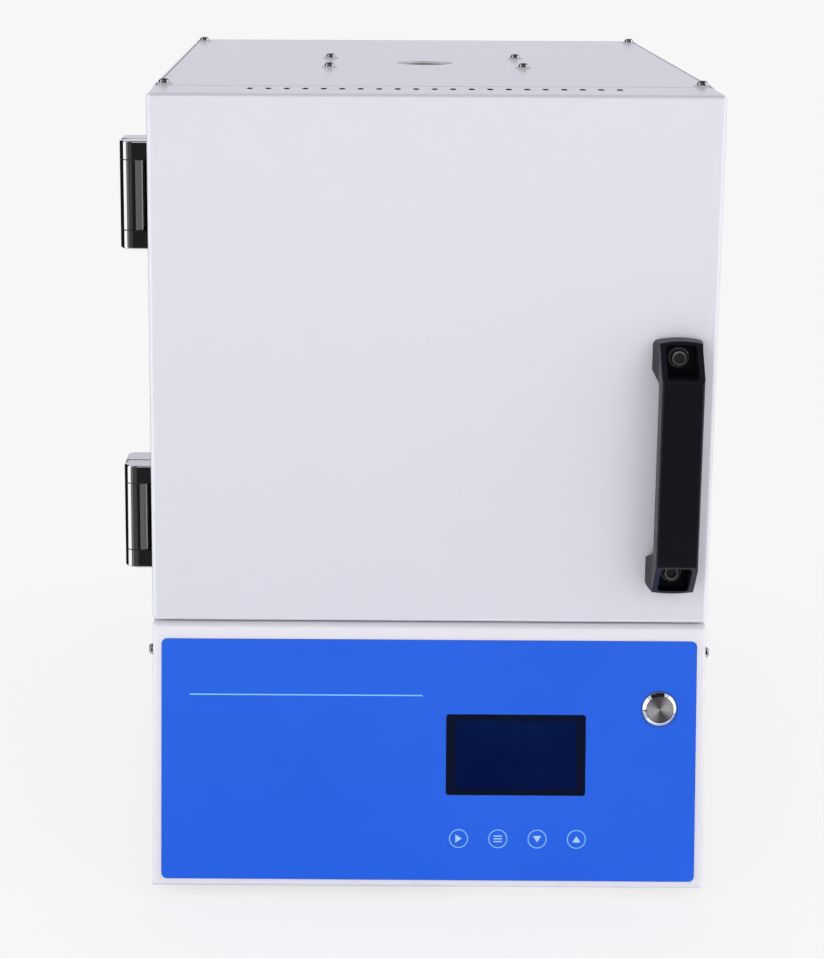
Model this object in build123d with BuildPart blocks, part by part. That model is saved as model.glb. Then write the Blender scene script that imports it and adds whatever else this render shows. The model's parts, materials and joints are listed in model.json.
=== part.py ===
from build123d import *
from math import cos, radians, sin
import os

# Bench-top dental lab furnace: a side-hung door on an insulated cabinet, standing on a control base with
# a raked membrane front. Millimetres. X = 0 is the middle of the cabinet with +X to the viewer's right,
# Y = 0 the middle of the base's footprint with -Y towards the viewer, Z = 0 the bench under the feet.

# Clearances
seam = 0.3  # between sheets that butt and between pieces that move past each other
pin_play = 0.05  # radial play of a hinge pin or fan shaft in its bore
screw_play = 0.2  # radial play of a screw in a through hole
key_gap = 0.2  # ring gap round a touch key
button_play = 0.1  # radial play of the push-button cap in its bezel
board_play = 0.5  # round a tube or rod that passes through fibre board

# Sheet metal
sheet = 1.5
bend = 2.5  # outer bend radius
side_lip = 18  # width of the flanges on every side panel
rolled_lip = 3  # visible roll of the cabinet sides beside the top panel

# Control base
base_width = 400
base_depth = 632
base_height = 190.5
fascia_rake = 33.44  # the fascia's foot stands this far in front of its top edge
fascia_lip = 14
fascia_top_bend = 5  # outer radius of the roll under the door
foot_clearance = 9
foot_radius = 15
foot_taper = 8
foot_margin = 2  # between a foot and the side cover's flange
foot_inset_y = 40
side_tongue = 9  # how far the side cover's tongue reaches forward inside the fascia's return
side_tongue_margin = 3  # between the tongue's ends and the deck or the pan
pan_slot_count = 9
pan_slot_pitch = 18
pan_slot_width = 6
pan_slot_length = 60

# Membrane overlay, measured up the fascia from its bottom edge
overlay_margin = 6.5  # white border at each side
overlay_width = base_width - 2 * overlay_margin
overlay_height = 175.6
overlay_bottom = 5.8
overlay_corner = 4
overlay_thickness = 1
window_width = 101
window_height = 59
window_corner = 2
window_x = 63.3
window_v = 97.9
display_border = 6  # display module beyond the window on every side
display_depth = 9
key_radius = 7.2
key_thickness = 0.5
key_stem_radius = 3
key_stem_length = 5
key_travel_room = 1  # between a key's stem and its switch
key_pitch = 28.5
key_first_x = 22.4
key_v = 36.5
key_names = ["key_run", "key_set", "key_down", "key_up"]

# Push button
button_inset = 26.6  # from the overlay's right edge
button_x = overlay_width / 2 - button_inset
button_v = 132
bezel_radius = 12.5
bezel_height = 2.6
barrel_radius = 11
barrel_length = 26
bezel_edge = 1.4
cap_radius = 9.5
cap_length = 10
cap_proud = 0.6
cap_edge = 0.5
nut_across = 28
nut_thickness = 3.5

# Controller board
controller_board_width = 134
controller_board_height = 124
controller_board_thickness = 1.6
controller_board_x = 62
controller_board_v = 81
key_seat_rim = 1  # of the switch under a key, beyond the key's stem
component_width = 30
component_height = 24
component_depth = 12
component_pitch_x = 80
component_pitch_v = 50
stud_length = 19
stud_radius = 2.5
stud_inset = 4

# Cabinet
cabinet_overhang = 1  # beyond the base at each side
cabinet_width = base_width + 2 * cabinet_overhang
cabinet_depth = 534
cabinet_height = 379.5
top_panel_gap = 0.9  # shadow line between the top panel and the rolled sides
rear_slot_count = 9
rear_slot_pitch = 20
rear_slot_width = 5
rear_slot_length = 40
rear_slot_margin = 60

# Chamber and its fibre boards
chamber_width = 220
chamber_height = 200
chamber_depth = 360
floor_board_thickness = 82.5
side_air = 9.2  # between a side board and the cabinet's side
roof_air = 11  # between the roof board and the flue's plate
rear_board_thickness = 80
frame_reveal = 2  # the front frame's mouth is this much wider than the chamber on every side
hearth_thickness = 10
hearth_inset = 10
hearth_setback = 20

# Heating elements in the side boards
elements_per_side = 4
element_pitch = 43
element_first = 30  # height of the lowest element above the chamber floor
element_depth = 9  # element axis behind the chamber wall
groove_radius = 10.5
groove_end = 18
tube_radius = 5
tube_socket = 12
coil_radius = 8
coil_play = 0.1
coil_end = 5  # the winding stops this far short of the groove's ends

# Flue
flue_setback = 236.5  # behind the cabinet front
flue_hole_radius = 22.5
flue_bore_radius = 18
flue_wall = 3.5
flue_plate_width = 180
flue_plate_depth = 130
flue_screw_spacing_x = 152
flue_screw_spacing_y = 105

# Thermocouple
thermocouple_radius = 4
thermocouple_reach = 25
thermocouple_drop = 40  # below the chamber roof
thermocouple_head_radius = 13
thermocouple_head_length = 36

# Door
door_width = base_width
door_height = 378
door_depth = 65
door_lift = 1.5  # gap over the control base
door_gap = 1.5  # behind the door
door_return = 12  # return flange at the back of the shell
door_edge_radius = 3.5
door_plate_corner = 2
vent_count = 21
vent_pitch = 13
vent_width = 4.3
vent_length = 14  # front to back
vent_setback = 41
plug_gap = 6  # between door plug and chamber wall
plug_reach = 13.5  # plug beyond the back plate's outer face
plug_taper = 6
door_block_width = 300
door_block_height = 290
door_block_air = 6  # between the block and the shell's front
seal_width = 12
plate_inset = 2  # back plate inside the shell's outline

# Handle
handle_inset = 28  # from the door's right side
handle_x = door_width / 2 - handle_inset
handle_bottom = 26.8  # above the door's bottom edge
handle_length = 182.6
handle_foot_width = 35.6
handle_grip_width = 29.8
handle_reach = 39
handle_grip_thickness = 19
handle_end_reach = 15  # how far the outer end of a foot stands off the door
handle_end_arch = 2.2  # rise of the arched ends
handle_corner = 4
handle_front_length = 132
handle_foot_height = 23
handle_gusset = 8  # rise of the diagonal from a foot to the grip's back
handle_screw_spacing = 156
handle_pocket_width = 22
handle_pocket_length = 22
handle_pocket_corner = 3
handle_pocket_floor = 4
handle_edge = 2.5

# Hinges
hinge_height = 77
hinge_knuckle_height = 13
hinge_play = 0.5  # between knuckles
hinge_reach = 23.5  # beyond the door's side
hinge_knuckle_radius = 10
hinge_setback = 45  # behind the door's front
hinge_body_length = 25
hinge_body_corner = 6
hinge_plate = 2
hinge_pin_radius = 3
hinge_cap = 3  # metal over the pin's upper end
hinge_edge = 1.2
knuckle_edge = 0.3
upper_hinge_height = 301.7  # above the door's bottom edge
lower_hinge_height = 65.4
hinge_screw_spacing = 30

# Magnetic catch
magnet_radius = 6
magnet_spacing = 40
catch_width = 11
catch_height = 70
catch_thickness = 1.1

# Fasteners
screw_radius = 2  # M4
screw_head_radius = 4
screw_head_height = 3
screw_head_taper = 12
screw_length = 8
washer_radius = 6
washer_thickness = 0.8
countersunk_radius = 3.6
handle_screw_radius = 3  # M6
handle_screw_head_radius = 5
handle_screw_head_height = 4
handle_screw_length = 16
handle_washer_radius = 7
handle_washer_thickness = 1.2

# Screw places
corner_screw_inset_x = 8  # from the cabinet's side
corner_screw_front = 12.5  # from the cabinet's front
corner_screw_rear = 27.5  # from the cabinet's rear
rear_screw_inset = 9
rear_screw_margin = 25
base_side_screw_drop = 21.5  # below the deck

# Equipment in the base
fan_size = 60
fan_depth = 25
fan_corner = 4
fan_duct_radius = 28
fan_hub_radius = 12
fan_shaft_radius = 2
fan_blade_count = 7
fan_blade_chord = 14
fan_blade_thickness = 1.2
fan_blade_pitch = 40
fan_tip_gap = 0.5
fan_hub_gap = 1.5  # in front of and behind the hub
fan_strut_count = 3
fan_strut_width = 4
fan_inset = 90  # from the base's left side
fan_x = -base_width / 2 + fan_inset
fan_height = 95  # above the pan
guard_wire = 1.6
guard_rings = 3
guard_bar_width = 2.4
guard_bar_overhang = 4  # beyond the duct at each end
inlet_inset = 80  # from the base's right side
inlet_x = base_width / 2 - inlet_inset
inlet_height = 50
inlet_recess_width = 28
inlet_recess_height = 20
inlet_recess_depth = 22
inlet_wall = 2.2
inlet_flange_width = 50
inlet_flange_height = 30
inlet_flange_thickness = 2.5
inlet_flange_corner = 3
inlet_pin_length = 15.5
inlet_pin_width = 8
inlet_pin_thickness = 2
inlet_pin_pitch = 9
inlet_earth_rise = 4  # of the middle pin
heat_sink_width = 100
heat_sink_depth = 120
heat_sink_height = 45
heat_sink_base = 8
heat_sink_fins = 9
heat_sink_fin = 2
heat_sink_x = 60
heat_sink_y = 40
relay_width = 45
relay_depth = 60
relay_height = 25
relay_post_radius = 4
relay_post_height = 2
relay_post_inset = 8
supply_width = 70
supply_depth = 110
supply_height = 38
supply_edge = 2
supply_x = -70
supply_y = 20
terminal_width = 90
terminal_depth = 22
terminal_height = 18
terminal_x = 60
terminal_y = 200
terminal_count = 6
terminal_wall = 4
terminal_well = 6  # depth of the wells over the terminals


def raked(height):
    """Y of the fascia's face at a height above the bench."""
    return base_front + fascia_rake * (height - base_bottom) / base_height


# Derived places
base_half = base_width / 2
base_front = -base_depth / 2
base_rear = base_depth / 2
base_bottom = foot_clearance
deck_top = base_bottom + base_height
pan_top = base_bottom + 2 * sheet
foot_x = base_half - side_lip - foot_margin - foot_radius
fascia_plane = Plane(
    origin=(0, base_front, base_bottom),
    x_dir=(1, 0, 0),
    z_dir=(0, -base_height, fascia_rake),
)
fascia_back = fascia_plane.offset(-sheet)
overlay_v = overlay_bottom + overlay_height / 2
key_places = [(key_first_x + i * key_pitch, key_v) for i in range(len(key_names))]
button_place = (button_x, button_v)

cabinet_half = cabinet_width / 2
cabinet_rear = base_rear
cabinet_front = cabinet_rear - cabinet_depth
cabinet_bottom = deck_top
cabinet_top = cabinet_bottom + cabinet_height
inner_half = cabinet_half - sheet - seam
inner_front = cabinet_front + 2 * sheet
inner_rear = cabinet_rear - 2 * sheet
cabinet_floor_top = cabinet_bottom + 2 * sheet

chamber_floor = cabinet_floor_top + floor_board_thickness
chamber_roof = chamber_floor + chamber_height
chamber_middle = chamber_floor + chamber_height / 2
chamber_rear = inner_front + chamber_depth
board_half = inner_half - side_air
wall_board_thickness = board_half - chamber_width / 2
roof_board_thickness = cabinet_top - 2 * sheet - roof_air - chamber_roof
board_rear = chamber_rear + rear_board_thickness
board_length = board_rear - inner_front
board_y = (board_rear + inner_front) / 2
element_x = chamber_width / 2 + element_depth
element_heights = [chamber_floor + element_first + i * element_pitch for i in range(elements_per_side)]
groove_front = inner_front + groove_end
groove_rear = chamber_rear - groove_end
flue_y = cabinet_front + flue_setback
flue_radius = flue_bore_radius + flue_wall
thermocouple_z = chamber_roof - thermocouple_drop

door_back = cabinet_front - door_gap
door_front = door_back - door_depth
door_bottom = deck_top + door_lift
door_top = door_bottom + door_height
door_middle = door_bottom + door_height / 2
shell_back = door_back - sheet
plug_half_width = chamber_width / 2 - plug_gap
plug_half_height = chamber_height / 2 - plug_gap
frame_face = cabinet_front + sheet  # front of the frame round the chamber mouth

handle_middle = door_bottom + handle_bottom + handle_length / 2
handle_screw_places = [
    (handle_x, handle_middle - handle_screw_spacing / 2),
    (handle_x, handle_middle + handle_screw_spacing / 2),
]

hinge_axis_x = -door_width / 2 - hinge_reach + hinge_knuckle_radius
hinge_axis_y = door_front + hinge_setback + hinge_knuckle_radius
hinge_body_front = cabinet_front - seam
door_side_plane = Plane(origin=(-door_width / 2, 0, 0), x_dir=(0, -1, 0), z_dir=(-1, 0, 0))
hinge_middles = {
    "upper": door_bottom + upper_hinge_height,
    "lower": door_bottom + lower_hinge_height,
}
hinge_arm_height = hinge_height - 2 * hinge_knuckle_height - 2 * hinge_play

top_screw_places = [
    (x, y)
    for x in (-cabinet_half + corner_screw_inset_x, cabinet_half - corner_screw_inset_x)
    for y in (cabinet_front + corner_screw_front, cabinet_rear - corner_screw_rear)
]
flue_screw_places = [
    (x, flue_y + y)
    for x in (-flue_screw_spacing_x / 2, flue_screw_spacing_x / 2)
    for y in (-flue_screw_spacing_y / 2, flue_screw_spacing_y / 2)
]
rear_cover_screw_places = [
    (x, z)
    for x in (-cabinet_half + rear_screw_inset, cabinet_half - rear_screw_inset)
    for z in (
        cabinet_bottom + rear_screw_margin,
        (cabinet_bottom + cabinet_top) / 2,
        cabinet_top - rear_screw_margin,
    )
]
rear_panel_screw_places = [
    (x, z)
    for x in (-base_width / 2 + rear_screw_inset, base_width / 2 - rear_screw_inset)
    for z in (base_bottom + rear_screw_margin, deck_top - rear_screw_margin)
]
base_side_screw_z = deck_top - base_side_screw_drop
base_side_screw_y = raked(base_side_screw_z) + fascia_lip / 2
back_plate_screw_inset = sheet + door_return / 2
back_plate_screw_places = [
    (x, z)
    for x in (-door_width / 2 + back_plate_screw_inset, door_width / 2 - back_plate_screw_inset)
    for z in (door_bottom + back_plate_screw_inset, door_middle, door_top - back_plate_screw_inset)
]
magnet_x = cabinet_half - side_lip / 2
magnet_places = [
    (magnet_x, chamber_middle - magnet_spacing / 2),
    (magnet_x, chamber_middle + magnet_spacing / 2),
]
fan_z = pan_top + fan_height
inlet_z = pan_top + inlet_height
heat_sink_top = pan_top + heat_sink_height


def hinge_screw_places(middle):
    """The two screws of a door leaf, in the plane of the door's side."""
    return [
        (-hinge_axis_y, middle - hinge_screw_spacing / 2),
        (-hinge_axis_y, middle + hinge_screw_spacing / 2),
    ]


os.makedirs("parts", exist_ok=True)
finished = []


def keep(sub_part, name):
    """Label one finished sub-part and write it as its own STEP file."""
    sub_part.part.label = name
    finished.append(name)
    export_step(sub_part.part, f"parts/{name}.step")


def xz_plane(y, towards=-1):
    """Upright plane at y that faces the viewer (-1) or the rear (+1), with its local x along world X."""
    if towards < 0:
        return Plane(origin=(0, y, 0), x_dir=(1, 0, 0), z_dir=(0, -1, 0))
    return Plane(origin=(0, y, 0), x_dir=(-1, 0, 0), z_dir=(0, 1, 0))


def yz_plane(x):
    """Upright plane at x whose local x is world Y and whose local y is world Z."""
    return Plane.YZ.offset(x)


def rectangle_between(low, high):
    """Rectangle in the sketch being built, given by two opposite corners."""
    with Locations(((low[0] + high[0]) / 2, (low[1] + high[1]) / 2)):
        Rectangle(abs(high[0] - low[0]), abs(high[1] - low[1]))


def circles(places, radius):
    """One circle of the same radius at every place of the sketch being built."""
    with Locations(*places):
        Circle(radius)


def punch(plane, places, radius, depth, centre=False):
    """Round holes through the part being built."""
    with BuildSketch(plane) as holes:
        circles(places, radius)
    extrude(holes.sketch, amount=depth, both=centre, mode=Mode.SUBTRACT)


def studs(plane, places, radius, height, taper=0):
    """Round studs on the part being built."""
    with BuildSketch(plane) as outline:
        circles(places, radius)
    extrude(outline.sketch, amount=height, taper=taper)


def pan_screws(plane, places, washer=0):
    """M4 pan-head screws standing on a plane, with a captive washer where its radius is given."""
    seat = plane
    if washer:
        studs(plane, places, washer, washer_thickness)
        seat = plane.offset(washer_thickness)
    studs(seat, places, screw_head_radius, screw_head_height, taper=screw_head_taper)
    studs(plane, places, screw_radius, -screw_length)


def countersinks(plane, places, depth, mode):
    """Cones from the countersunk head's radius on a plane to the screw's radius below it."""
    for place in places:
        with BuildSketch(plane) as mouth:
            circles([place], countersunk_radius)
        with BuildSketch(plane.offset(-depth)) as root:
            circles([place], screw_radius)
        loft([mouth.sketch.face(), root.sketch.face()], mode=mode)


def countersunk_screws(plane, places, depth):
    """Countersunk screws whose heads lie flush with a plane."""
    studs(plane, places, screw_radius, -screw_length)
    countersinks(plane, places, depth, Mode.ADD)


# --- Control base -----------------------------------------------------------------------------------------


def base_side(side):
    """Folded side cover of the base; side is -1 on the left and +1 on the right.

    A joggled tongue at its front slips inside the fascia's return, where one screw holds both.
    """
    outer = base_width / 2
    low = base_bottom + sheet
    high = deck_top - sheet
    front = fascia_lip + seam
    tongue_outer = outer - sheet - seam
    tongue_low = pan_top + side_tongue_margin
    tongue_high = deck_top - 2 * sheet - side_tongue_margin
    with BuildPart() as cover:
        with BuildSketch(yz_plane(side * outer)):
            with BuildLine():
                Polyline(
                    (base_front + front, base_bottom),
                    (base_front + fascia_rake + front, deck_top),
                    (base_rear, deck_top),
                    (base_rear, base_bottom),
                    close=True,
                )
            make_face()
        extrude(amount=-side * side_lip)
        long_edges = cover.edges().filter_by(Axis.Y).sort_by(Axis.X)
        fillet(long_edges[-2:] if side > 0 else long_edges[:2], bend)
        with BuildSketch(yz_plane(side * (outer - sheet))):
            rectangle_between((base_front - 1, low), (base_rear - 2 * sheet, high))
            rectangle_between((base_rear - sheet, low), (base_rear + 1, high))
        extrude(amount=-side * side_lip, mode=Mode.SUBTRACT)
        with BuildSketch(yz_plane(side * tongue_outer)):
            with BuildLine():
                Polyline(
                    (raked(tongue_low) + front - side_tongue, tongue_low),
                    (raked(tongue_high) + front - side_tongue, tongue_high),
                    (raked(tongue_high) + front + 2 * sheet, tongue_high),
                    (raked(tongue_low) + front + 2 * sheet, tongue_low),
                    close=True,
                )
            make_face()
        extrude(amount=-side * sheet)
        with BuildSketch(yz_plane(side * (outer - sheet / 2))):
            with BuildLine():
                Polyline(
                    (raked(tongue_low) + front, tongue_low),
                    (raked(tongue_high) + front, tongue_high),
                    (raked(tongue_high) + front + 2 * sheet, tongue_high),
                    (raked(tongue_low) + front + 2 * sheet, tongue_low),
                    close=True,
                )
            make_face()
        extrude(amount=-side * (sheet + seam))
        punch(
            yz_plane(side * outer),
            [(base_side_screw_y, base_side_screw_z)],
            screw_radius + screw_play,
            -side * 4 * sheet,
        )
        punch(
            xz_plane(base_rear),
            [place for place in rear_panel_screw_places if place[0] * side > 0],
            screw_radius + screw_play,
            2 * side_lip,
            centre=True,
        )
    return cover


def fascia():
    """Raked front pan of the base, open at its back, with the studs that carry the controller board."""
    with BuildPart() as pan:
        with BuildSketch(yz_plane(0)):
            with BuildLine():
                Polyline(
                    (base_front, base_bottom),
                    (base_front + fascia_rake, deck_top),
                    (base_front + fascia_rake + fascia_lip, deck_top),
                    (base_front + fascia_lip, base_bottom),
                    close=True,
                )
            make_face()
        extrude(amount=base_width / 2, both=True)
        outward = Axis((0, 0, 0), (0, -base_height, fascia_rake))
        rim = pan.faces().sort_by(outward)[-1].edges().sort_by(Axis.Z)
        fillet(rim[-1], fascia_top_bend)
        rim = pan.faces().sort_by(outward)[-1].edges().sort_by(Axis.Z)
        fillet(rim[:-1], bend)
        offset(amount=-sheet, openings=pan.faces().sort_by(outward)[0])
        with BuildSketch(fascia_plane):
            with Locations((window_x, window_v)):
                Rectangle(window_width + 2 * screw_play, window_height + 2 * screw_play)
            circles([button_place], barrel_radius + screw_play)
            circles(key_places, key_stem_radius + screw_play)
        extrude(amount=-2 * sheet, mode=Mode.SUBTRACT)
        punch(
            yz_plane(0),
            [(base_side_screw_y, base_side_screw_z)],
            screw_radius + screw_play,
            base_width,
            centre=True,
        )
        with BuildSketch(fascia_back):
            with Locations((controller_board_x, controller_board_v)):
                with GridLocations(
                    controller_board_width - 2 * stud_inset,
                    controller_board_height - 2 * stud_inset,
                    2,
                    2,
                ):
                    Circle(stud_radius)
        extrude(amount=-stud_length)
    return pan


keep(base_side(-1), "base_left_side")
keep(base_side(1), "base_right_side")
keep(fascia(), "control_fascia")

deck_front = raked(deck_top) + fascia_lip + seam
with BuildPart() as base_top_deck:
    with BuildSketch(Plane.XY.offset(deck_top - 2 * sheet)):
        rectangle_between(
            (-base_width / 2 + sheet + seam, deck_front),
            (base_width / 2 - sheet - seam, base_rear - 2 * sheet),
        )
    extrude(amount=sheet)
keep(base_top_deck, "base_top_deck")

with BuildPart() as base_bottom_pan:
    with BuildSketch(Plane.XY.offset(base_bottom + sheet)):
        rectangle_between(
            (-base_width / 2 + sheet + seam, raked(pan_top) + fascia_lip + seam),
            (base_width / 2 - sheet - seam, base_rear - 2 * sheet),
        )
        with GridLocations(pan_slot_pitch, 0, pan_slot_count, 1):
            Rectangle(pan_slot_width, pan_slot_length, mode=Mode.SUBTRACT)
    extrude(amount=sheet)
keep(base_bottom_pan, "base_bottom_pan")

with BuildPart() as feet:
    with BuildSketch(Plane.XY.offset(base_bottom + sheet)):
        with GridLocations(2 * foot_x, base_depth - 2 * foot_inset_y, 2, 2):
            Circle(foot_radius)
    extrude(amount=-base_bottom - sheet, taper=foot_taper)
keep(feet, "rubber_feet")

with BuildPart() as keypad_overlay:
    with BuildSketch(fascia_plane):
        with Locations((0, overlay_v)):
            RectangleRounded(overlay_width, overlay_height, overlay_corner)
        with Locations((window_x, window_v)):
            RectangleRounded(
                window_width + 2 * screw_play,
                window_height + 2 * screw_play,
                window_corner,
                mode=Mode.SUBTRACT,
            )
        with Locations(button_place):
            Circle(barrel_radius + screw_play, mode=Mode.SUBTRACT)
        with Locations(*key_places):
            Circle(key_radius + key_gap, mode=Mode.SUBTRACT)
    extrude(amount=overlay_thickness)
keep(keypad_overlay, "keypad_overlay")

for key_name, place in zip(key_names, key_places):
    with BuildPart() as key:
        with BuildSketch(fascia_plane.offset(overlay_thickness)):
            circles([place], key_radius)
        extrude(amount=-key_thickness)
        with BuildSketch(fascia_plane.offset(overlay_thickness - key_thickness)):
            circles([place], key_stem_radius)
        extrude(amount=-key_stem_length)
    keep(key, key_name)

with BuildPart() as display_window:
    with BuildSketch(fascia_back):
        with Locations((window_x, window_v)):
            RectangleRounded(window_width, window_height, window_corner)
    extrude(amount=sheet + overlay_thickness)
keep(display_window, "display_window")

with BuildPart() as display_module:
    with BuildSketch(fascia_back):
        with Locations((window_x, window_v)):
            Rectangle(window_width + 2 * display_border, window_height + 2 * display_border)
    extrude(amount=-display_depth)
keep(display_module, "display_module")

board_plane = fascia_back.offset(-stud_length)
key_stem_end = key_thickness + key_stem_length - overlay_thickness  # below the fascia's face
key_seat_height = stud_length + sheet - key_stem_end - key_travel_room
with BuildPart() as controller_board:
    with BuildSketch(board_plane):
        with Locations((controller_board_x, controller_board_v)):
            Rectangle(controller_board_width, controller_board_height)
    extrude(amount=-controller_board_thickness)
    with BuildSketch(board_plane):
        circles(key_places, key_stem_radius + key_seat_rim)
    extrude(amount=key_seat_height)
    with BuildSketch(board_plane.offset(-controller_board_thickness)):
        with Locations((controller_board_x, controller_board_v)):
            with GridLocations(component_pitch_x, component_pitch_v, 2, 2):
                Rectangle(component_width, component_height)
    extrude(amount=-component_depth)
keep(controller_board, "controller_board")

with BuildPart() as power_button_bezel:
    with BuildSketch(fascia_plane.offset(overlay_thickness)):
        circles([button_place], bezel_radius)
    extrude(amount=bezel_height)
    outward = Axis((0, 0, 0), fascia_plane.z_dir)
    fillet(power_button_bezel.edges().sort_by(outward)[-1], bezel_edge)
    with BuildSketch(fascia_plane.offset(overlay_thickness)):
        circles([button_place], barrel_radius)
    extrude(amount=-barrel_length)
    with BuildSketch(fascia_plane.offset(overlay_thickness + bezel_height)):
        circles([button_place], cap_radius + button_play)
    extrude(amount=-barrel_length, mode=Mode.SUBTRACT)
keep(power_button_bezel, "power_button_bezel")

with BuildPart() as power_button_cap:
    with BuildSketch(fascia_plane.offset(overlay_thickness + bezel_height + cap_proud)):
        circles([button_place], cap_radius)
    extrude(amount=-cap_length)
    chamfer(power_button_cap.edges().sort_by(outward)[-1], cap_edge)
keep(power_button_cap, "power_button_cap")

with BuildPart() as power_button_nut:
    with BuildSketch(fascia_back):
        with Locations(button_place):
            RegularPolygon(nut_across / 2, 6, major_radius=False)
            Circle(barrel_radius, mode=Mode.SUBTRACT)
    extrude(amount=-nut_thickness)
keep(power_button_nut, "power_button_nut")

fan_plane = xz_plane(base_rear - sheet)
with BuildPart() as base_rear_panel:
    with BuildSketch(xz_plane(base_rear)):
        rectangle_between(
            (-base_width / 2 + sheet + seam, base_bottom + sheet + seam),
            (base_width / 2 - sheet - seam, deck_top - sheet - seam),
        )
        with Locations((fan_x, fan_z)):
            Circle(fan_duct_radius, mode=Mode.SUBTRACT)
        with Locations((inlet_x, inlet_z)):
            Rectangle(
                inlet_recess_width + 2 * inlet_wall + 2 * screw_play,
                inlet_recess_height + 2 * inlet_wall + 2 * screw_play,
                mode=Mode.SUBTRACT,
            )
        with Locations(*rear_panel_screw_places):
            Circle(screw_radius + screw_play, mode=Mode.SUBTRACT)
    extrude(amount=sheet)
keep(base_rear_panel, "base_rear_panel")

with BuildPart() as fan_frame:
    with BuildSketch(fan_plane):
        with Locations((fan_x, fan_z)):
            RectangleRounded(fan_size, fan_size, fan_corner)
            Circle(fan_duct_radius, mode=Mode.SUBTRACT)
    extrude(amount=fan_depth)
    with BuildSketch(fan_plane.offset(fan_depth)):
        with Locations((fan_x, fan_z)):
            Circle(fan_hub_radius)
            with PolarLocations((fan_duct_radius + fan_hub_radius) / 2, fan_strut_count):
                Rectangle(fan_duct_radius - fan_hub_radius + 2 * sheet, fan_strut_width)
    extrude(amount=-sheet)
    with BuildSketch(fan_plane.offset(fan_depth - sheet)):
        circles([(fan_x, fan_z)], fan_shaft_radius)
    extrude(amount=-fan_depth + 2 * sheet)
keep(fan_frame, "fan_frame")

with BuildPart() as fan_rotor:
    rotor_plane = fan_plane.offset(fan_hub_gap)
    with BuildSketch(rotor_plane):
        circles([(fan_x, fan_z)], fan_hub_radius)
    extrude(amount=fan_depth - sheet - 2 * fan_hub_gap)
    for blade in range(fan_blade_count):
        turn = radians(360 / fan_blade_count * blade)
        radial = (cos(turn), 0, sin(turn))
        fan_middle = (fan_x, base_rear - sheet - fan_depth / 2, fan_z)
        with BuildSketch(Plane(origin=fan_middle, x_dir=(0, 1, 0), z_dir=radial).offset(fan_hub_radius - 1)):
            Rectangle(fan_blade_chord, fan_blade_thickness, rotation=fan_blade_pitch)
        extrude(amount=fan_duct_radius - fan_hub_radius - fan_tip_gap)
    punch(rotor_plane, [(fan_x, fan_z)], fan_shaft_radius + pin_play, fan_depth)
keep(fan_rotor, "fan_rotor")

with BuildPart() as fan_guard:
    ring_step = (fan_duct_radius - guard_wire) / guard_rings
    with BuildSketch(xz_plane(base_rear, 1)):
        for ring in range(1, guard_rings + 1):
            with Locations((-fan_x, fan_z)):
                Circle(ring * ring_step + guard_wire)
                Circle(ring * ring_step, mode=Mode.SUBTRACT)
        with Locations((-fan_x, fan_z)):
            for turn in (-45, 45):
                Rectangle(
                    2 * (fan_duct_radius + guard_bar_overhang), guard_bar_width, rotation=turn
                )
    extrude(amount=guard_wire)
keep(fan_guard, "fan_guard")

inlet_plane = xz_plane(base_rear, 1)
inlet_place = (-inlet_x, inlet_z)
with BuildPart() as power_inlet:
    with BuildSketch(inlet_plane):
        with Locations(inlet_place):
            RectangleRounded(inlet_flange_width, inlet_flange_height, inlet_flange_corner)
    extrude(amount=inlet_flange_thickness)
    with BuildSketch(inlet_plane):
        with Locations(inlet_place):
            Rectangle(
                inlet_recess_width + 2 * inlet_wall,
                inlet_recess_height + 2 * inlet_wall,
            )
    extrude(amount=-inlet_recess_depth - inlet_wall + inlet_flange_thickness)
    with BuildSketch(inlet_plane.offset(inlet_flange_thickness)):
        with Locations(inlet_place):
            Rectangle(inlet_recess_width, inlet_recess_height)
    extrude(amount=-inlet_recess_depth, mode=Mode.SUBTRACT)
    with BuildSketch(inlet_plane.offset(inlet_flange_thickness - inlet_recess_depth)):
        with Locations(inlet_place):
            with GridLocations(inlet_pin_pitch * 2, 0, 2, 1):
                Rectangle(inlet_pin_thickness, inlet_pin_width)
        with Locations((inlet_place[0], inlet_place[1] + inlet_earth_rise)):
            Rectangle(inlet_pin_thickness, inlet_pin_width)
    extrude(amount=inlet_pin_length)
keep(power_inlet, "power_inlet")

with BuildPart() as heat_sink:
    with BuildSketch(xz_plane(heat_sink_y + heat_sink_depth / 2)):
        rectangle_between(
            (heat_sink_x - heat_sink_width / 2, heat_sink_top - heat_sink_base),
            (heat_sink_x + heat_sink_width / 2, heat_sink_top),
        )
        with Locations((heat_sink_x, pan_top + heat_sink_height / 2)):
            with GridLocations(
                (heat_sink_width - heat_sink_fin) / (heat_sink_fins - 1), 0, heat_sink_fins, 1
            ):
                Rectangle(heat_sink_fin, heat_sink_height)
    extrude(amount=heat_sink_depth)
keep(heat_sink, "heat_sink")

with BuildPart() as solid_state_relay:
    with BuildSketch(Plane.XY.offset(heat_sink_top)):
        with Locations((heat_sink_x, heat_sink_y)):
            Rectangle(relay_width, relay_depth)
    extrude(amount=relay_height)
    with BuildSketch(Plane.XY.offset(heat_sink_top + relay_height)):
        with Locations((heat_sink_x, heat_sink_y)):
            with GridLocations(
                relay_width - 2 * relay_post_inset, relay_depth - 2 * relay_post_inset, 2, 2
            ):
                Circle(relay_post_radius)
    extrude(amount=relay_post_height)
keep(solid_state_relay, "solid_state_relay")

with BuildPart() as power_supply:
    with BuildSketch(Plane.XY.offset(pan_top)):
        with Locations((supply_x, supply_y)):
            Rectangle(supply_width, supply_depth)
    extrude(amount=supply_height)
    fillet(power_supply.edges().filter_by(Axis.Y).group_by(Axis.Z)[-1], supply_edge)
keep(power_supply, "power_supply")

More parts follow.
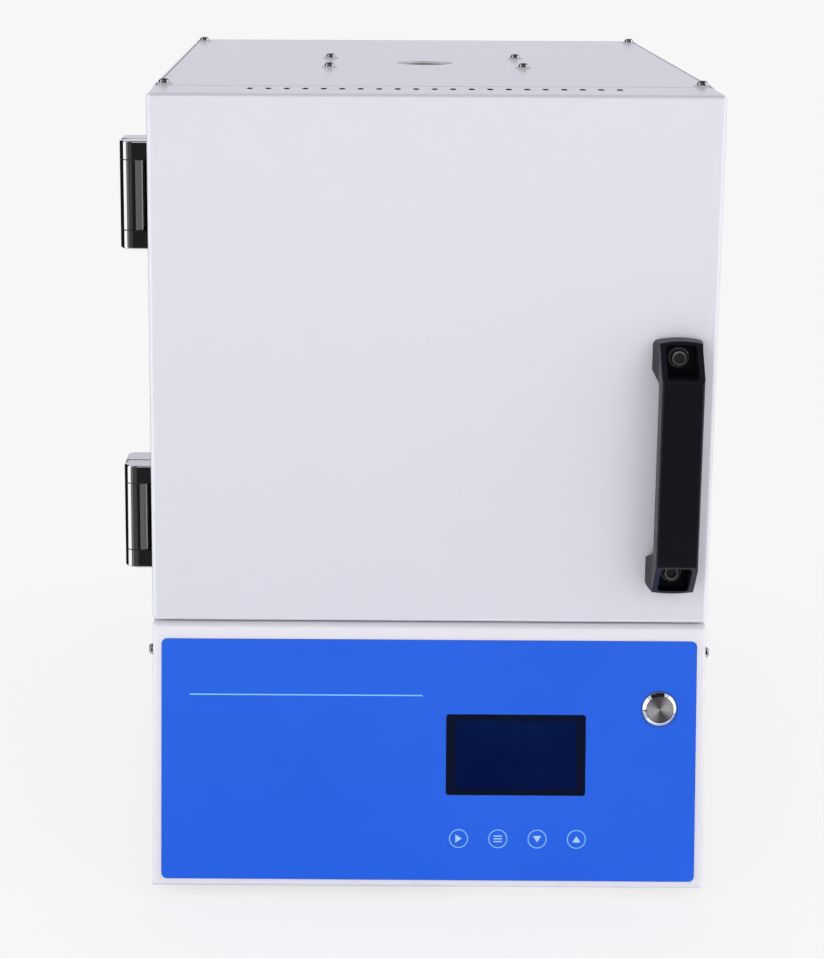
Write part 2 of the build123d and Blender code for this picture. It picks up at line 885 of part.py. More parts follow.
with BuildPart() as terminal_block:
    with BuildSketch(Plane.XY.offset(pan_top)):
        with Locations((terminal_x, terminal_y)):
            Rectangle(terminal_width, terminal_depth)
    extrude(amount=terminal_height)
    with BuildSketch(Plane.XY.offset(pan_top + terminal_height)):
        with Locations((terminal_x, terminal_y)):
            with GridLocations(terminal_width / terminal_count, 0, terminal_count, 1):
                Rectangle(
                    terminal_width / terminal_count - terminal_wall,
                    terminal_depth - 2 * terminal_wall,
                )
    extrude(amount=-terminal_well, mode=Mode.SUBTRACT)
keep(terminal_block, "terminal_block")

with BuildPart() as base_screws:
    for side in (-1, 1):
        cover_face = Plane.YZ.offset(side * base_width / 2)
        with BuildSketch(cover_face):
            circles([(base_side_screw_y, base_side_screw_z)], screw_head_radius)
        extrude(amount=side * screw_head_height, taper=screw_head_taper)
        with BuildSketch(cover_face):
            circles([(base_side_screw_y, base_side_screw_z)], screw_radius)
        extrude(amount=-side * screw_length)
    pan_screws(xz_plane(base_rear, 1), [(-x, z) for x, z in rear_panel_screw_places])
keep(base_screws, "base_screws")

# --- Cabinet ----------------------------------------------------------------------------------------------


def cabinet_side(side):
    """Folded side panel of the cabinet; its top flange is set down by one sheet to seat the top panel."""
    low = cabinet_bottom + sheet
    high = cabinet_top - 2 * sheet
    with BuildPart() as panel:
        with BuildSketch(yz_plane(side * cabinet_half)):
            rectangle_between((cabinet_front, cabinet_bottom), (cabinet_rear, cabinet_top))
        extrude(amount=-side * side_lip)
        long_edges = panel.edges().filter_by(Axis.Y).sort_by(Axis.X)
        upright_edges = panel.edges().filter_by(Axis.Z).sort_by(Axis.X)
        outer_edges = slice(-2, None) if side > 0 else slice(0, 2)
        fillet(long_edges[outer_edges] + upright_edges[outer_edges], bend)
        with BuildSketch(yz_plane(side * (cabinet_half - sheet))):
            rectangle_between((cabinet_front + sheet, low), (cabinet_rear - 2 * sheet, high))
            rectangle_between((cabinet_rear - sheet, low), (cabinet_rear + 1, high))
        extrude(amount=-side * side_lip, mode=Mode.SUBTRACT)
        with BuildSketch(yz_plane(side * (cabinet_half - rolled_lip))):
            rectangle_between(
                (cabinet_front - 1, cabinet_top - sheet), (cabinet_rear + 1, cabinet_top + 1)
            )
        extrude(amount=-side * side_lip, mode=Mode.SUBTRACT)
        punch(
            Plane.XY.offset(cabinet_top),
            [place for place in top_screw_places if place[0] * side > 0],
            screw_radius + screw_play,
            -4 * sheet,
        )
        punch(
            xz_plane(cabinet_rear),
            [place for place in rear_cover_screw_places if place[0] * side > 0],
            screw_radius + screw_play,
            4 * sheet,
            centre=True,
        )
        if side > 0:
            punch(xz_plane(cabinet_front), magnet_places, magnet_radius + screw_play, -2 * sheet)
    return panel


keep(cabinet_side(-1), "cabinet_left_side")
keep(cabinet_side(1), "cabinet_right_side")

with BuildPart() as cabinet_floor:
    with BuildSketch(Plane.XY.offset(cabinet_bottom + sheet)):
        rectangle_between((-inner_half, inner_front), (inner_half, inner_rear))
    extrude(amount=sheet)
keep(cabinet_floor, "cabinet_floor")

panel_half = cabinet_half - rolled_lip - top_panel_gap
with BuildPart() as top_panel:
    with BuildSketch(Plane.XY.offset(cabinet_top - sheet)):
        rectangle_between((-panel_half, cabinet_front), (panel_half, cabinet_rear))
        with Locations((0, flue_y)):
            Circle(flue_hole_radius, mode=Mode.SUBTRACT)
        with Locations(*top_screw_places, *flue_screw_places):
            Circle(screw_radius + screw_play, mode=Mode.SUBTRACT)
    extrude(amount=sheet)
keep(top_panel, "top_panel")

with BuildPart() as front_frame:
    with BuildSketch(xz_plane(frame_face)):
        rectangle_between(
            (-inner_half, cabinet_bottom + sheet), (inner_half, cabinet_top - 2 * sheet)
        )
        with Locations((0, chamber_middle)):
            Rectangle(
                chamber_width + 2 * frame_reveal,
                chamber_height + 2 * frame_reveal,
                mode=Mode.SUBTRACT,
            )
        with Locations(*magnet_places):
            Circle(magnet_radius + screw_play, mode=Mode.SUBTRACT)
    extrude(amount=-sheet)
keep(front_frame, "front_frame")

with BuildPart() as rear_cover:
    with BuildSketch(xz_plane(cabinet_rear)):
        rectangle_between(
            (-inner_half, cabinet_bottom + sheet + seam),
            (inner_half, cabinet_top - 2 * sheet - seam),
        )
        with Locations(*rear_cover_screw_places):
            Circle(screw_radius + screw_play, mode=Mode.SUBTRACT)
        with Locations((0, cabinet_top - rear_slot_margin), (0, cabinet_bottom + rear_slot_margin)):
            with GridLocations(rear_slot_pitch, 0, rear_slot_count, 1):
                Rectangle(rear_slot_width, rear_slot_length, mode=Mode.SUBTRACT)
    extrude(amount=sheet)
keep(rear_cover, "rear_cover")

with BuildPart() as cabinet_screws:
    pan_screws(Plane.XY.offset(cabinet_top), top_screw_places + flue_screw_places, washer_radius)
    pan_screws(
        xz_plane(cabinet_rear, 1), [(-x, z) for x, z in rear_cover_screw_places], washer=0
    )
keep(cabinet_screws, "cabinet_screws")

with BuildPart() as insulation_floor:
    with BuildSketch(Plane.XY.offset(cabinet_floor_top)):
        with Locations((0, board_y)):
            Rectangle(2 * board_half, board_length)
    extrude(amount=floor_board_thickness)
keep(insulation_floor, "insulation_floor")

with BuildPart() as insulation_roof:
    with BuildSketch(Plane.XY.offset(chamber_roof)):
        with Locations((0, board_y)):
            Rectangle(2 * board_half, board_length)
        with Locations((0, flue_y)):
            Circle(flue_radius + board_play, mode=Mode.SUBTRACT)
    extrude(amount=roof_board_thickness)
keep(insulation_roof, "insulation_roof")

with BuildPart() as insulation_rear:
    with BuildSketch(xz_plane(chamber_rear, 1)):
        with Locations((0, chamber_middle)):
            Rectangle(chamber_width, chamber_height)
        with Locations((0, thermocouple_z)):
            Circle(thermocouple_radius + board_play, mode=Mode.SUBTRACT)
    extrude(amount=rear_board_thickness)
keep(insulation_rear, "insulation_rear")


def side_board(side):
    """Side board with open grooves for the elements and a blind socket at each end of every groove."""
    places = [(side * element_x, z) for z in element_heights]
    with BuildPart() as board:
        with BuildSketch(xz_plane(inner_front)):
            with Locations((side * (board_half - wall_board_thickness / 2), chamber_middle)):
                Rectangle(wall_board_thickness, chamber_height)
        extrude(amount=-board_length)
        with BuildSketch(xz_plane(groove_front)):
            for place in places:
                with Locations(place):
                    Circle(groove_radius)
                with Locations((side * (element_x - element_depth), place[1])):
                    Rectangle(2 * element_depth, 2 * groove_radius)
        extrude(amount=groove_front - groove_rear, mode=Mode.SUBTRACT)
        punch(
            xz_plane(groove_front - tube_socket - board_play),
            places,
            tube_radius + screw_play,
            groove_front - groove_rear - 2 * tube_socket - 2 * board_play,
        )
    return board


keep(side_board(-1), "insulation_left")
keep(side_board(1), "insulation_right")

element_places = [(side * element_x, z) for side in (-1, 1) for z in element_heights]
with BuildPart() as element_tubes:
    with BuildSketch(xz_plane(groove_front - tube_socket)):
        circles(element_places, tube_radius)
    extrude(amount=groove_front - groove_rear - 2 * tube_socket)
keep(element_tubes, "element_tubes")

with BuildPart() as heating_coils:
    with BuildSketch(xz_plane(groove_front + coil_end)):
        circles(element_places, coil_radius)
        with Locations(*element_places):
            Circle(tube_radius + coil_play, mode=Mode.SUBTRACT)
    extrude(amount=groove_front - groove_rear + 2 * coil_end)
keep(heating_coils, "heating_coils")

with BuildPart() as hearth_plate:
    with BuildSketch(Plane.XY.offset(chamber_floor)):
        rectangle_between(
            (-chamber_width / 2 + hearth_inset, inner_front + hearth_setback),
            (chamber_width / 2 - hearth_inset, chamber_rear - hearth_inset),
        )
    extrude(amount=hearth_thickness)
    chamfer(hearth_plate.edges().group_by(Axis.Z)[-1], 1)
keep(hearth_plate, "hearth_plate")

with BuildPart() as flue_tube:
    with BuildSketch(Plane.XY.offset(cabinet_top - sheet)):
        with Locations((0, flue_y)):
            Rectangle(flue_plate_width, flue_plate_depth)
        with Locations(*flue_screw_places):
            Circle(screw_radius + screw_play, mode=Mode.SUBTRACT)
    extrude(amount=-sheet)
    with BuildSketch(Plane.XY.offset(cabinet_top - sheet)):
        circles([(0, flue_y)], flue_radius)
    extrude(amount=chamber_roof - cabinet_top + sheet)
    punch(Plane.XY.offset(chamber_roof), [(0, flue_y)], flue_bore_radius, cabinet_top - chamber_roof)
keep(flue_tube, "flue_tube")

with BuildPart() as thermocouple:
    with BuildSketch(xz_plane(chamber_rear - thermocouple_reach, 1)):
        circles([(0, thermocouple_z)], thermocouple_radius)
    extrude(amount=thermocouple_reach + rear_board_thickness)
    with BuildSketch(xz_plane(board_rear, 1)):
        circles([(0, thermocouple_z)], thermocouple_head_radius)
    extrude(amount=thermocouple_head_length)
keep(thermocouple, "thermocouple")

with BuildPart() as catch_magnets:
    with BuildSketch(xz_plane(cabinet_front)):
        circles(magnet_places, magnet_radius)
    extrude(amount=-2 * sheet)
keep(catch_magnets, "catch_magnets")

# --- Door -------------------------------------------------------------------------------------------------

with BuildPart() as door_shell:
    with BuildSketch(xz_plane(shell_back)):
        with Locations((0, door_middle)):
            Rectangle(door_width, door_height)
    extrude(amount=door_depth - sheet)
    front_edges = door_shell.faces().sort_by(Axis.Y)[0].edges()
    fillet(front_edges + door_shell.edges().filter_by(Axis.Y), door_edge_radius)
    offset(amount=-sheet, openings=door_shell.faces().sort_by(Axis.Y)[-1])
    with BuildSketch(xz_plane(shell_back)):
        with Locations((0, door_middle)):
            RectangleRounded(door_width - sheet, door_height - sheet, door_edge_radius - sheet / 2)
            Rectangle(
                door_width - 2 * sheet - 2 * door_return,
                door_height - 2 * sheet - 2 * door_return,
                mode=Mode.SUBTRACT,
            )
    extrude(amount=sheet)
    with BuildSketch(Plane.XY.offset(door_middle)):
        with Locations((0, door_front + vent_setback)):
            with GridLocations(vent_pitch, 0, vent_count, 1):
                SlotOverall(vent_length, vent_width, rotation=90)
    extrude(amount=door_height, both=True, mode=Mode.SUBTRACT)
    punch(xz_plane(door_front), handle_screw_places, handle_screw_radius + screw_play, -2 * sheet)
    punch(xz_plane(shell_back), back_plate_screw_places, screw_radius + screw_play, 2 * sheet)
    for hinge_middle in hinge_middles.values():
        punch(
            door_side_plane,
            hinge_screw_places(hinge_middle),
            screw_radius + screw_play,
            -2 * sheet,
        )
keep(door_shell, "door_shell")

with BuildPart() as door_back_plate:
    with BuildSketch(xz_plane(door_back)):
        with Locations((0, door_middle)):
            RectangleRounded(
                door_width - 2 * plate_inset, door_height - 2 * plate_inset, door_plate_corner
            )
        with Locations((0, chamber_middle)):
            Rectangle(
                2 * plug_half_width + 2 * board_play,
                2 * plug_half_height + 2 * board_play,
                mode=Mode.SUBTRACT,
            )
    extrude(amount=sheet)
    countersinks(
        xz_plane(door_back, 1), [(-x, z) for x, z in back_plate_screw_places], sheet, Mode.SUBTRACT
    )
keep(door_back_plate, "door_back_plate")

with BuildPart() as door_insulation:
    with BuildSketch(xz_plane(shell_back)):
        with Locations((0, chamber_middle)):
            Rectangle(door_block_width, door_block_height)
    extrude(amount=door_depth - 2 * sheet - door_block_air)
    with BuildSketch(xz_plane(shell_back, 1)):
        with Locations((0, chamber_middle)):
            Rectangle(2 * plug_half_width, 2 * plug_half_height)
    extrude(amount=sheet + plug_reach, taper=plug_taper)
keep(door_insulation, "door_insulation")

with BuildPart() as door_seal:
    with BuildSketch(xz_plane(door_back, 1)):
        with Locations((0, chamber_middle)):
            Rectangle(
                chamber_width + 2 * frame_reveal + 2 * seal_width,
                chamber_height + 2 * frame_reveal + 2 * seal_width,
            )
            Rectangle(
                chamber_width + 2 * frame_reveal,
                chamber_height + 2 * frame_reveal,
                mode=Mode.SUBTRACT,
            )
    extrude(amount=frame_face - door_back - seam)
keep(door_seal, "door_seal")

with BuildPart() as catch_plate:
    with BuildSketch(xz_plane(door_back, 1)):
        with Locations((-magnet_x, chamber_middle)):
            Rectangle(catch_width, catch_height)
    extrude(amount=catch_thickness)
keep(catch_plate, "catch_plate")


def handle():
    """Moulded offset pull: a straight grip between two flared feet with a screw pocket in each raked end."""
    end = handle_length / 2
    corner = end - handle_end_arch
    front_end = handle_front_length / 2
    foot_inner = end - handle_foot_height
    grip_inner = foot_inner - handle_gusset
    grip_back = handle_reach - handle_grip_thickness
    foot_half = handle_foot_width / 2
    grip_half = handle_grip_width / 2
    end_y = door_front - handle_end_reach
    front_y = door_front - handle_reach

    def at(reach, height):
        return (door_front - reach, handle_middle + height)

    with BuildPart() as grip:
        with BuildSketch(yz_plane(handle_x)):
            with BuildLine():
                Polyline(
                    at(0, end),
                    at(handle_end_reach, end),
                    at(handle_reach, front_end),
                    at(handle_reach, -front_end),
                    at(handle_end_reach, -end),
                    at(0, -end),
                    at(0, -foot_inner),
                    at(grip_back, -grip_inner),
                    at(grip_back, grip_inner),
                    at(0, foot_inner),
                    close=True,
                )
            make_face()
        extrude(amount=foot_half, both=True)
        with BuildSketch(Plane.XY.offset(handle_middle)):
            with BuildLine():
                Polyline(
                    (handle_x - foot_half, door_front),
                    (handle_x - grip_half, end_y),
                    (handle_x - grip_half, front_y),
                    (handle_x + grip_half, front_y),
                    (handle_x + grip_half, end_y),
                    (handle_x + foot_half, door_front),
                    close=True,
                )
            make_face()
        extrude(amount=handle_length, both=True, mode=Mode.INTERSECT)
        with BuildSketch(xz_plane(door_front)) as outline:
            corners = [
                (handle_x + side * foot_half, handle_middle + tip * corner)
                for side, tip in ((-1, 1), (1, 1), (1, -1), (-1, -1))
            ]
            with BuildLine():
                ThreePointArc(corners[0], (handle_x, handle_middle + end), corners[1])
                Line(corners[1], corners[2])
                ThreePointArc(corners[2], (handle_x, handle_middle - end), corners[3])
                Line(corners[3], corners[0])
            make_face()
            fillet(outline.vertices(), handle_corner)
        extrude(amount=handle_reach, mode=Mode.INTERSECT)
        fillet(grip.edges().group_by(Axis.Y)[0], handle_edge)
        with BuildSketch(xz_plane(door_front - handle_pocket_floor)):
            with Locations(*handle_screw_places):
                RectangleRounded(
                    handle_pocket_width, handle_pocket_length, handle_pocket_corner
                )
        extrude(amount=handle_reach, mode=Mode.SUBTRACT)
        punch(
            xz_plane(door_front),
            handle_screw_places,
            handle_screw_radius + screw_play,
            handle_pocket_floor,
        )
    return grip


keep(handle(), "door_handle")

with BuildPart() as handle_screws:
    pocket_floor = xz_plane(door_front - handle_pocket_floor)
    with BuildSketch(pocket_floor):
        circles(handle_screw_places, handle_washer_radius)
    extrude(amount=handle_washer_thickness)
    with BuildSketch(pocket_floor.offset(handle_washer_thickness)):
        circles(handle_screw_places, handle_screw_head_radius)
    extrude(amount=handle_screw_head_height)
    with BuildSketch(pocket_floor.offset(handle_washer_thickness + handle_screw_head_height)):
        with Locations(*handle_screw_places):
            RegularPolygon(handle_screw_head_radius / 2, 6)
    extrude(amount=-handle_screw_head_height / 2, mode=Mode.SUBTRACT)
    with BuildSketch(pocket_floor):
        circles(handle_screw_places, handle_screw_radius)
    extrude(amount=-handle_screw_length)
keep(handle_screws, "handle_screws")

# --- Hinges -----------------------------------------------------------------------------------------------


def round_ends(leaf):
    """Round the top and bottom edges of a hinge leaf, all but the ones that lie on the sheet metal."""
    for ends in (leaf.edges().group_by(Axis.Z)[-1], leaf.edges().group_by(Axis.Z)[0]):
        fillet(ends.sort_by(Axis.X)[:-1], hinge_edge)


def hinge_door_leaf(middle):
    """Upper and lower knuckles joined by a plate that lies on the door's side."""
    half = hinge_height / 2
    with BuildPart() as leaf:
        with BuildSketch(Plane.XY.offset(middle - half)):
            with Locations((hinge_axis_x, hinge_axis_y)):
                Circle(hinge_knuckle_radius)
            rectangle_between(
                (hinge_axis_x, hinge_axis_y - hinge_knuckle_radius),
                (-door_width / 2, hinge_axis_y + hinge_knuckle_radius),
            )
        extrude(amount=hinge_height)
        round_ends(leaf)
        with BuildSketch(Plane.XY.offset(middle - half + hinge_knuckle_height)):
            rectangle_between(
                (-door_width / 2 - 2 * hinge_reach, door_front),
                (-door_width / 2 - hinge_plate, cabinet_front),
            )
        extrude(amount=hinge_height - 2 * hinge_knuckle_height, mode=Mode.SUBTRACT)
        punch(
            Plane.XY.offset(middle - half),
            [(hinge_axis_x, hinge_axis_y)],
            hinge_pin_radius + pin_play,
            hinge_height - hinge_cap + seam,
        )
        countersinks(
            door_side_plane.offset(hinge_plate), hinge_screw_places(middle), hinge_plate, Mode.SUBTRACT
        )
    return leaf


def hinge_body_leaf(middle):
    """Block on the cabinet's side with an arm that reaches forward to the middle knuckle."""
    half = hinge_height / 2
    rear = hinge_body_front + hinge_body_length
    left = hinge_axis_x - hinge_knuckle_radius
    with BuildPart() as leaf:
        with BuildSketch(Plane.XY.offset(middle - half)):
            rectangle_between((left, hinge_body_front), (-cabinet_half, rear))
        extrude(amount=hinge_height)
        rear_corner = leaf.edges().filter_by(Axis.Z).group_by(Axis.X)[0].sort_by(Axis.Y)[-1]
        fillet(rear_corner, hinge_body_corner)
        round_ends(leaf)
        with BuildSketch(Plane.XY.offset(middle - hinge_arm_height / 2)):
            with Locations((hinge_axis_x, hinge_axis_y)):
                Circle(hinge_knuckle_radius)
            rectangle_between(
                (left, hinge_axis_y),
                (hinge_axis_x + hinge_knuckle_radius, hinge_body_front + hinge_edge),
            )
        extrude(amount=hinge_arm_height)
        knuckle_ends = leaf.edges().filter_by(GeomType.CIRCLE).sort_by(Axis.Y)
        chamfer(
            [edge for edge in knuckle_ends if abs(edge.radius - hinge_knuckle_radius) < seam],
            knuckle_edge,
        )
        punch(
            Plane.XY.offset(middle - half),
            [(hinge_axis_x, hinge_axis_y)],
            hinge_pin_radius + pin_play,
            hinge_height,
        )
    return leaf


def hinge_pin(middle):
    """Pin from the hinge's underside to just below its capped top."""
    with BuildPart() as pin:
        with BuildSketch(Plane.XY.offset(middle - hinge_height / 2)):
            circles([(hinge_axis_x, hinge_axis_y)], hinge_pin_radius)
        extrude(amount=hinge_height - hinge_cap)
    return pin


for hinge_name, hinge_middle in hinge_middles.items():
    keep(hinge_door_leaf(hinge_middle), f"{hinge_name}_hinge_door_leaf")
    keep(hinge_body_leaf(hinge_middle), f"{hinge_name}_hinge_body_leaf")
    keep(hinge_pin(hinge_middle), f"{hinge_name}_hinge_pin")

with BuildPart() as door_screws:
    countersunk_screws(
        xz_plane(door_back, 1), [(-x, z) for x, z in back_plate_screw_places], sheet
    )
    for hinge_middle in hinge_middles.values():
        countersunk_screws(
            door_side_plane.offset(hinge_plate), hinge_screw_places(hinge_middle), hinge_plate
        )
keep(door_screws, "door_screws")

print(len(finished), "sub-parts written")
print("hinge axis", hinge_axis_x, hinge_axis_y, "button axis", tuple(fascia_plane.z_dir))
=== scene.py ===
import json
import math

import bmesh
import bpy
from mathutils import Matrix, Vector

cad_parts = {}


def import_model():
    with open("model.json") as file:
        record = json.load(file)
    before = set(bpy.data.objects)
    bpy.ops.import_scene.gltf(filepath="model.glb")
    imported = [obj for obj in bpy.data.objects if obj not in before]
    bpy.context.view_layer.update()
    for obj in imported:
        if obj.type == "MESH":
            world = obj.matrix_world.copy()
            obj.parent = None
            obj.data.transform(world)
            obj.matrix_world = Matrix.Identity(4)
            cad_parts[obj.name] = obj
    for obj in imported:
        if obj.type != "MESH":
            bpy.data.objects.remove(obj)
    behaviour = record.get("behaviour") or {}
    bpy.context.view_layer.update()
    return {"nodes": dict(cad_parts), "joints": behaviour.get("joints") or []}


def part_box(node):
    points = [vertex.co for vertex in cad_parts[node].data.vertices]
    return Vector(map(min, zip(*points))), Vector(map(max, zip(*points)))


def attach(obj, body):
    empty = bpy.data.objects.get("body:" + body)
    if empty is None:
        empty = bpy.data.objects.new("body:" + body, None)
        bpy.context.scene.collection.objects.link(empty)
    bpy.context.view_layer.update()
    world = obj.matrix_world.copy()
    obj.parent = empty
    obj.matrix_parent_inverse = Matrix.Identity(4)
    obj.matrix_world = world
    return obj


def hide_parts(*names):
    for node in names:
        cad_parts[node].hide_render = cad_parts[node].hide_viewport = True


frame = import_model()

# Looks of the bench-top lab furnace. Metres, in the CAD model's frame: X to the viewer's right, Y to the
# rear, Z up from the bench. Places come from the CAD nodes; only the sizes of fine detail are written here.

MM = 0.001
cad_nodes = frame["nodes"]


def joint(name):
    return next(found for found in frame["joints"] if found["name"] == name)


# The membrane front leans back; its directions come from the travel of the keys.
RIGHT = Vector((1, 0, 0))
OUT = -Vector(joint("key_run_press")["axis"]).normalized()
UP_SLOPE = OUT.cross(RIGHT)


# --- Reading the CAD nodes ---


def span(node, axis):
    """Lowest and highest reach of a CAD node along any direction."""
    reach = [vertex.co.dot(axis) for vertex in cad_nodes[node].data.vertices]
    return min(reach), max(reach)


def middle(node, axis):
    return sum(span(node, axis)) / 2


def half_width(node):
    low, high = span(node, RIGHT)
    return (high - low) / 2


def solids_of(node):
    """Corner points of each separate solid in a CAD node, in a fixed order."""
    bm = opened(cad_nodes[node].data)
    bmesh.ops.remove_doubles(bm, verts=bm.verts, dist=0.001 * MM)
    left = set(bm.verts)
    solids = []
    for vertex in bm.verts:
        if vertex not in left:
            continue
        left.discard(vertex)
        reached = [vertex]
        for near in reached:
            for edge in near.link_edges:
                other = edge.other_vert(near)
                if other in left:
                    left.discard(other)
                    reached.append(other)
        solids.append([found.co.copy() for found in reached])
    bm.free()
    return sorted(solids, key=lambda points: tuple(round(value, 5) for value in points_box(points)[0]))


def points_box(points):
    low = Vector(min(point[i] for point in points) for i in range(3))
    high = Vector(max(point[i] for point in points) for i in range(3))
    return low, high


def off_axis(vector, index):
    """The vector without its part along one axis."""
    flat = vector.copy()
    flat[index] = 0
    return flat


def screw_tops(node):
    """Middle of the outer face and outward direction of every round fastener in a CAD node."""
    tops = []
    for points in solids_of(node):
        low, high = points_box(points)
        size = high - low
        odd = max(range(3), key=lambda i: min(abs(size[i] - size[j]) for j in range(3) if j != i))
        centre = (low + high) / 2
        radius = {}
        for sign, end in ((1, high[odd]), (-1, low[odd])):
            rim = [point for point in points if abs(point[odd] - end) < size[odd] / 2]
            radius[sign] = max(off_axis(point - centre, odd).length for point in rim)
        sign = 1 if radius[1] > radius[-1] else -1
        top = centre.copy()
        top[odd] = high[odd] if sign > 0 else low[odd]
        outward = Vector((0, 0, 0))
        outward[odd] = sign
        tops.append((top, outward))
    return tops


# --- Mesh helpers ---


def standing(point, outward, turn=0.0):
    """Matrix that puts a piece built on the XY plane at a point, facing outward."""
    facing = outward.to_track_quat("Z", "Y").to_matrix().to_4x4()
    return Matrix.Translation(point) @ facing @ Matrix.Rotation(turn, 4, "Z")


def front_matrix(x, up, out):
    """Matrix of the raked front: local X to the right, local Y up the slope, local Z outward."""
    point = RIGHT * x + UP_SLOPE * up + OUT * out
    return Matrix.Translation(point) @ Matrix((RIGHT, UP_SLOPE, OUT)).transposed().to_4x4()


def opened(*meshes):
    """Editable copy of one or more meshes together."""
    bm = bmesh.new()
    for mesh in meshes:
        bm.from_mesh(mesh)
    return bm


def finish_mesh(bm, name, smooth_angle=35, matrix=None):
    """Mesh of a bmesh, moved if asked, with its faces smooth up to an angle in degrees."""
    if matrix is not None:
        bmesh.ops.transform(bm, matrix=matrix, verts=bm.verts)
    bmesh.ops.recalc_face_normals(bm, faces=bm.faces)
    mesh = bpy.data.meshes.new(name)
    bm.to_mesh(mesh)
    bm.free()
    mesh.shade_smooth()
    mesh.set_sharp_from_angle(angle=math.radians(smooth_angle))
    return mesh


def add_object(name, data):
    made = bpy.data.objects.new(name, data)
    bpy.context.scene.collection.objects.link(made)
    return made


def slot_name(material):
    return material.name.split(".")[0]


def piece(name, mesh, body, slot, materials=None, stands_for=()):
    """Puts a finished mesh on a CAD body, in its slot's finish unless others are given."""
    made = add_object(name, mesh)
    for material in materials or [finishes[slot]]:
        mesh.materials.append(material)
    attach(made, body)
    if stands_for:
        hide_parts(*stands_for)
    return made


def evaluated_mesh(made):
    """Mesh that an object shows, with its modifiers or its bevel."""
    bpy.context.view_layer.update()
    return bpy.data.meshes.new_from_object(made.evaluated_get(bpy.context.evaluated_depsgraph_get()))


def add_lathe(bm, profile, steps):
    """Turns a profile of (radius, height) pairs round Z."""
    rings = []
    for radius, height in profile:
        if radius == 0:
            rings.append([bm.verts.new((0, 0, height))])
            continue
        rings.append([bm.verts.new((x, y, height)) for x, y in circle_outline(radius, steps=steps)])
    for low, high in zip(rings, rings[1:]):
        for step in range(steps):
            around = [(low, step), (low, step + 1), (high, step + 1), (high, step)]
            bm.faces.new(list(dict.fromkeys(ring[place % len(ring)] for ring, place in around)))


def lathed(name, profile, steps, smooth_angle=35, matrix=None):
    bm = bmesh.new()
    add_lathe(bm, profile, steps)
    return finish_mesh(bm, name, smooth_angle, matrix)


def carved(body_mesh, tool_mesh):
    """Mesh of one solid with another cut out of it."""
    body = add_object("body", body_mesh)
    tool = add_object("tool", tool_mesh)
    cut = body.modifiers.new("cut", "BOOLEAN")
    cut.operation = "DIFFERENCE"
    cut.solver = "EXACT"
    cut.use_self = True
    cut.object = tool
    result = evaluated_mesh(body)
    for made in (body, tool):
        bpy.data.objects.remove(made)
    return result


def repeated(template, matrices, name, smooth_angle=35):
    """One mesh with a copy of a template at every matrix."""
    bm = bmesh.new()
    for matrix in matrices:
        start = len(bm.verts)
        bm.from_mesh(template)
        bm.verts.ensure_lookup_table()
        bmesh.ops.transform(bm, matrix=matrix, verts=bm.verts[start:])
    return finish_mesh(bm, name, smooth_angle)


def rounded_outline(width, height, radius, centre=(0, 0), steps=6):
    points = []
    for quarter, (sx, sy) in enumerate(((1, 1), (-1, 1), (-1, -1), (1, -1))):
        x = centre[0] + sx * (width / 2 - radius)
        y = centre[1] + sy * (height / 2 - radius)
        for step in range(steps + 1):
            turn = math.pi / 2 * (quarter + step / steps)
            points.append((x + radius * math.cos(turn), y + radius * math.sin(turn)))
    return points


def circle_outline(radius, centre=(0, 0), steps=48):
    turns = [math.tau * step / steps for step in range(steps)]
    return [(centre[0] + radius * math.cos(t), centre[1] + radius * math.sin(t)) for t in turns]


def next_to_each(items):
    """Pairs of each item with the next one, and of the last with the first."""
    return zip(items, items[1:] + items[:1])


def flat_place(corner):
    return round(corner.co.x, 7), round(corner.co.y, 7)


def add_plate(bm, outlines, thickness, edge=0.0):
    """Plate from z = 0 up, with holes after the first outline; the first outline's upper rim is rounded."""
    loops = [[bm.verts.new((x, y, 0)) for x, y in outline] for outline in outlines]
    edges = [bm.edges.new(pair) for loop in loops for pair in next_to_each(loop)]
    rim_places = [flat_place(corner) for corner in loops[0]]
    filled = bmesh.ops.triangle_fill(bm, use_beauty=True, use_dissolve=False, edges=edges)
    faces = [item for item in filled["geom"] if isinstance(item, bmesh.types.BMFace)]
    raised = bmesh.ops.extrude_face_region(bm, geom=faces, use_keep_orig=True)["geom"]
    top = [item for item in raised if isinstance(item, bmesh.types.BMVert)]
    bmesh.ops.translate(bm, verts=top, vec=(0, 0, thickness))
    if edge:
        lifted = {flat_place(corner): corner for corner in top}
        rim = [bm.edges.get(pair) for pair in next_to_each([lifted[place] for place in rim_places])]
        bmesh.ops.bevel(
            bm, geom=rim, offset=edge, segments=3, affect="EDGES", profile=0.5, clamp_overlap=True
        )


def plate(name, outlines, thickness, edge=0.0, smooth_angle=35, matrix=None):
    bm = bmesh.new()
    add_plate(bm, outlines, thickness, edge)
    return finish_mesh(bm, name, smooth_angle, matrix)


def wire_mesh(name, paths, radius, sides=2, closed=False):
    """Round wire along one or more paths."""
    curve = bpy.data.curves.new(name, "CURVE")
    curve.dimensions = "3D"
    curve.bevel_depth = radius
    curve.bevel_resolution = sides
    curve.use_fill_caps = True
    for path in paths:
        spline = curve.splines.new("POLY")
        spline.points.add(len(path) - 1)
        for point, place in zip(spline.points, path):
            point.co = (*place, 1)
        spline.use_cyclic_u = closed
    wire = add_object(name, curve)
    mesh = evaluated_mesh(wire)
    bpy.data.objects.remove(wire)
    mesh.shade_smooth()
    return mesh


# --- Shader nodes ---


def wired(tree, node, inputs, output=0):
    """Fills inputs of a shader node, each with a plain value or from another node's output."""
    for socket, value in inputs.items():
        if isinstance(value, bpy.types.NodeSocket):
            tree.links.new(value, node.inputs[socket])
        else:
            node.inputs[socket].default_value = value
    return node.outputs[output]


def added(tree, kind, inputs, output=0):
    return wired(tree, tree.nodes.new(kind), inputs, output)


def maths(tree, operation, first, second=0.0):
    node = tree.nodes.new("ShaderNodeMath")
    node.operation = operation
    return wired(tree, node, {0: first, 1: second})


